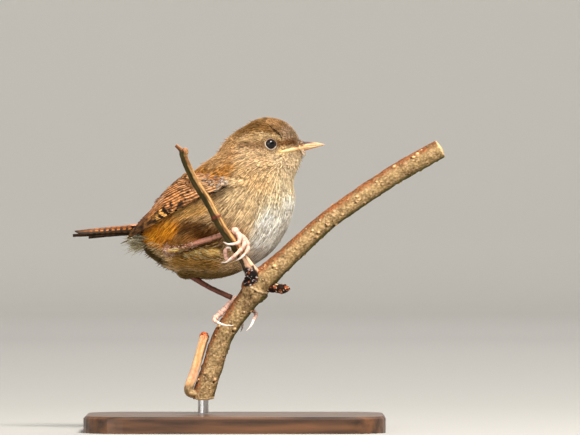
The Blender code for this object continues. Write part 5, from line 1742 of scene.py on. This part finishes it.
def dress_stand():
    wood, tree = principled("oiled walnut", 0.38, 0.4, Coat_Weight=0.15)
    figure = grain(tree, 60, 6.0, (0.6, 9, 6))
    join(tree, ramp(tree, figure, (0.32, (44, 27, 17)), (0.7, (104, 68, 42))))
    bump(tree, figure, 0.04)
    steel, tree = principled("brushed steel", 0.28, 0.5, Metallic=1.0)
    brushed = grain(tree, 900, 2.0, (1, 1, 0.05))
    join(tree, node(tree, "MapRange", {"Value": brushed, "To Min": 0.42, "To Max": 0.62}))
    for name, look in (("stand_base", wood), ("stand_rod", steel)):
        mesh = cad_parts[name].data
        mesh.materials.clear()
        mesh.materials.append(look)


STAGE_FLAT = 2600.0
STAGE_RADIUS = 3600.0
STAGE_HEIGHT = 3000.0


def make_stage():
    """A round floor that curves up into a wall far from the bird on every side."""
    bend = STAGE_RADIUS - STAGE_FLAT
    profile = [(0.01, 0.0), (600.0, 0.0), (STAGE_FLAT, 0.0)]
    profile += [(STAGE_FLAT + bend * math.sin(turn), bend * (1 - math.cos(turn)))
                for turn in np.linspace(0, math.pi / 2, 16)[1:]]
    profile.append((STAGE_RADIUS, STAGE_HEIGHT))
    sides = 96
    angle = circle(sides)
    points = np.vstack([rows_of(r * np.cos(angle), r * np.sin(angle), z) for r, z in profile])
    mesh = bpy.data.meshes.new("floor")
    mesh.from_pydata((points * MM).tolist(), [], grid_faces(len(profile), sides, closed=True).tolist())
    mesh.shade_smooth()
    look, tree = principled("matt floor", 0.9, 0.1)
    # painted shade: the floor is darker near the bird, where the lamps light it most, and paler towards the
    # wall
    where = node(tree, "TexCoord", {}, "Object")
    away = node(tree, "VectorMath", {0: where}, "Value", operation="LENGTH")
    share = maths(tree, "MULTIPLY", away, 1 / (STAGE_RADIUS * MM))
    join(tree, ramp(tree, share, (0.08, (158, 156, 152)), (0.42, (178, 176, 172)), (0.8, (238, 236, 232))))
    mesh.materials.append(look)
    placed("floor", mesh)


def make_light(name, place, size, power, colour=(1, 1, 1)):
    lamp = bpy.data.lights.new(name, "AREA")
    lamp.energy, lamp.size, lamp.color = power, size * MM, colour
    made = placed(name, lamp)
    made.location = Vector(place) * MM
    made.rotation_euler = (Vector((0, 0, 60)) - Vector(place)).to_track_quat("-Z", "Y").to_euler()


CAMERA = (16.5, -2000.0, 64.05)
LENS = 413.8
SENSOR = 36.0


def make_camera():
    view = bpy.data.cameras.new("camera")
    view.lens, view.sensor_width, view.clip_end = LENS, SENSOR, 20
    made = placed("camera", view)
    made.location = Vector(CAMERA) * MM
    made.rotation_euler = (math.pi / 2, 0, 0)
    bpy.context.scene.camera = made


def light_scene():
    world = bpy.data.worlds.new("studio")
    world.use_nodes = True
    sky = world.node_tree.nodes["Background"]
    sky.inputs["Color"].default_value = (1.0, 0.98, 0.95, 1)
    sky.inputs["Strength"].default_value = 0.5
    scene = bpy.context.scene
    scene.world = world
    scene.view_settings.view_transform = "Standard"
    make_light("key", (330, -640, 1060), 440, 34, (1.0, 0.965, 0.91))
    make_light("fill", (-700, -1250, 260), 900, 9, (1.0, 0.99, 0.97))
    make_light("rim", (300, 1300, 1500), 900, 16)


def main():
    make_camera()
    light_scene()
    make_stage()
    dress_stand()
    shell = flesh()
    for make in (make_skin, make_coat, make_streaks, make_wisps):
        make(shell)
    make_heel_tuft()
    make_belly_tips(shell)
    make_bill_feathers(shell)
    for side, word in ((-1, "right"), (1, "left")):
        make_eye(f"eye_{word}", side)
        make_lids(f"lids_{word}", side)
        make_wing(f"wing_{word}", side)
        make_shoulder(shell, f"shoulder_{word}", side)
    make_bill("mandible_upper", "bill_upper", True)
    make_bill("mandible_lower", "bill_lower", False)
    make_gape()
    make_tail()
    make_shank("shank_right", RIGHT_SHANK, (168, 118, 98), "tarsus_right")
    make_shank("shank_left", LEFT_SHANK, (92, 54, 40), "tarsus_left")
    make_foot("right", RIGHT_SOLE, RIGHT_TOES, (232, 184, 164), (230, 212, 200), "foot_right")
    make_foot("left", LEFT_SOLE, LEFT_TOES, (224, 180, 162), (226, 212, 202), "foot_left")
    make_branch()
    make_twig()
    make_bud()
    make_shoot()


main()
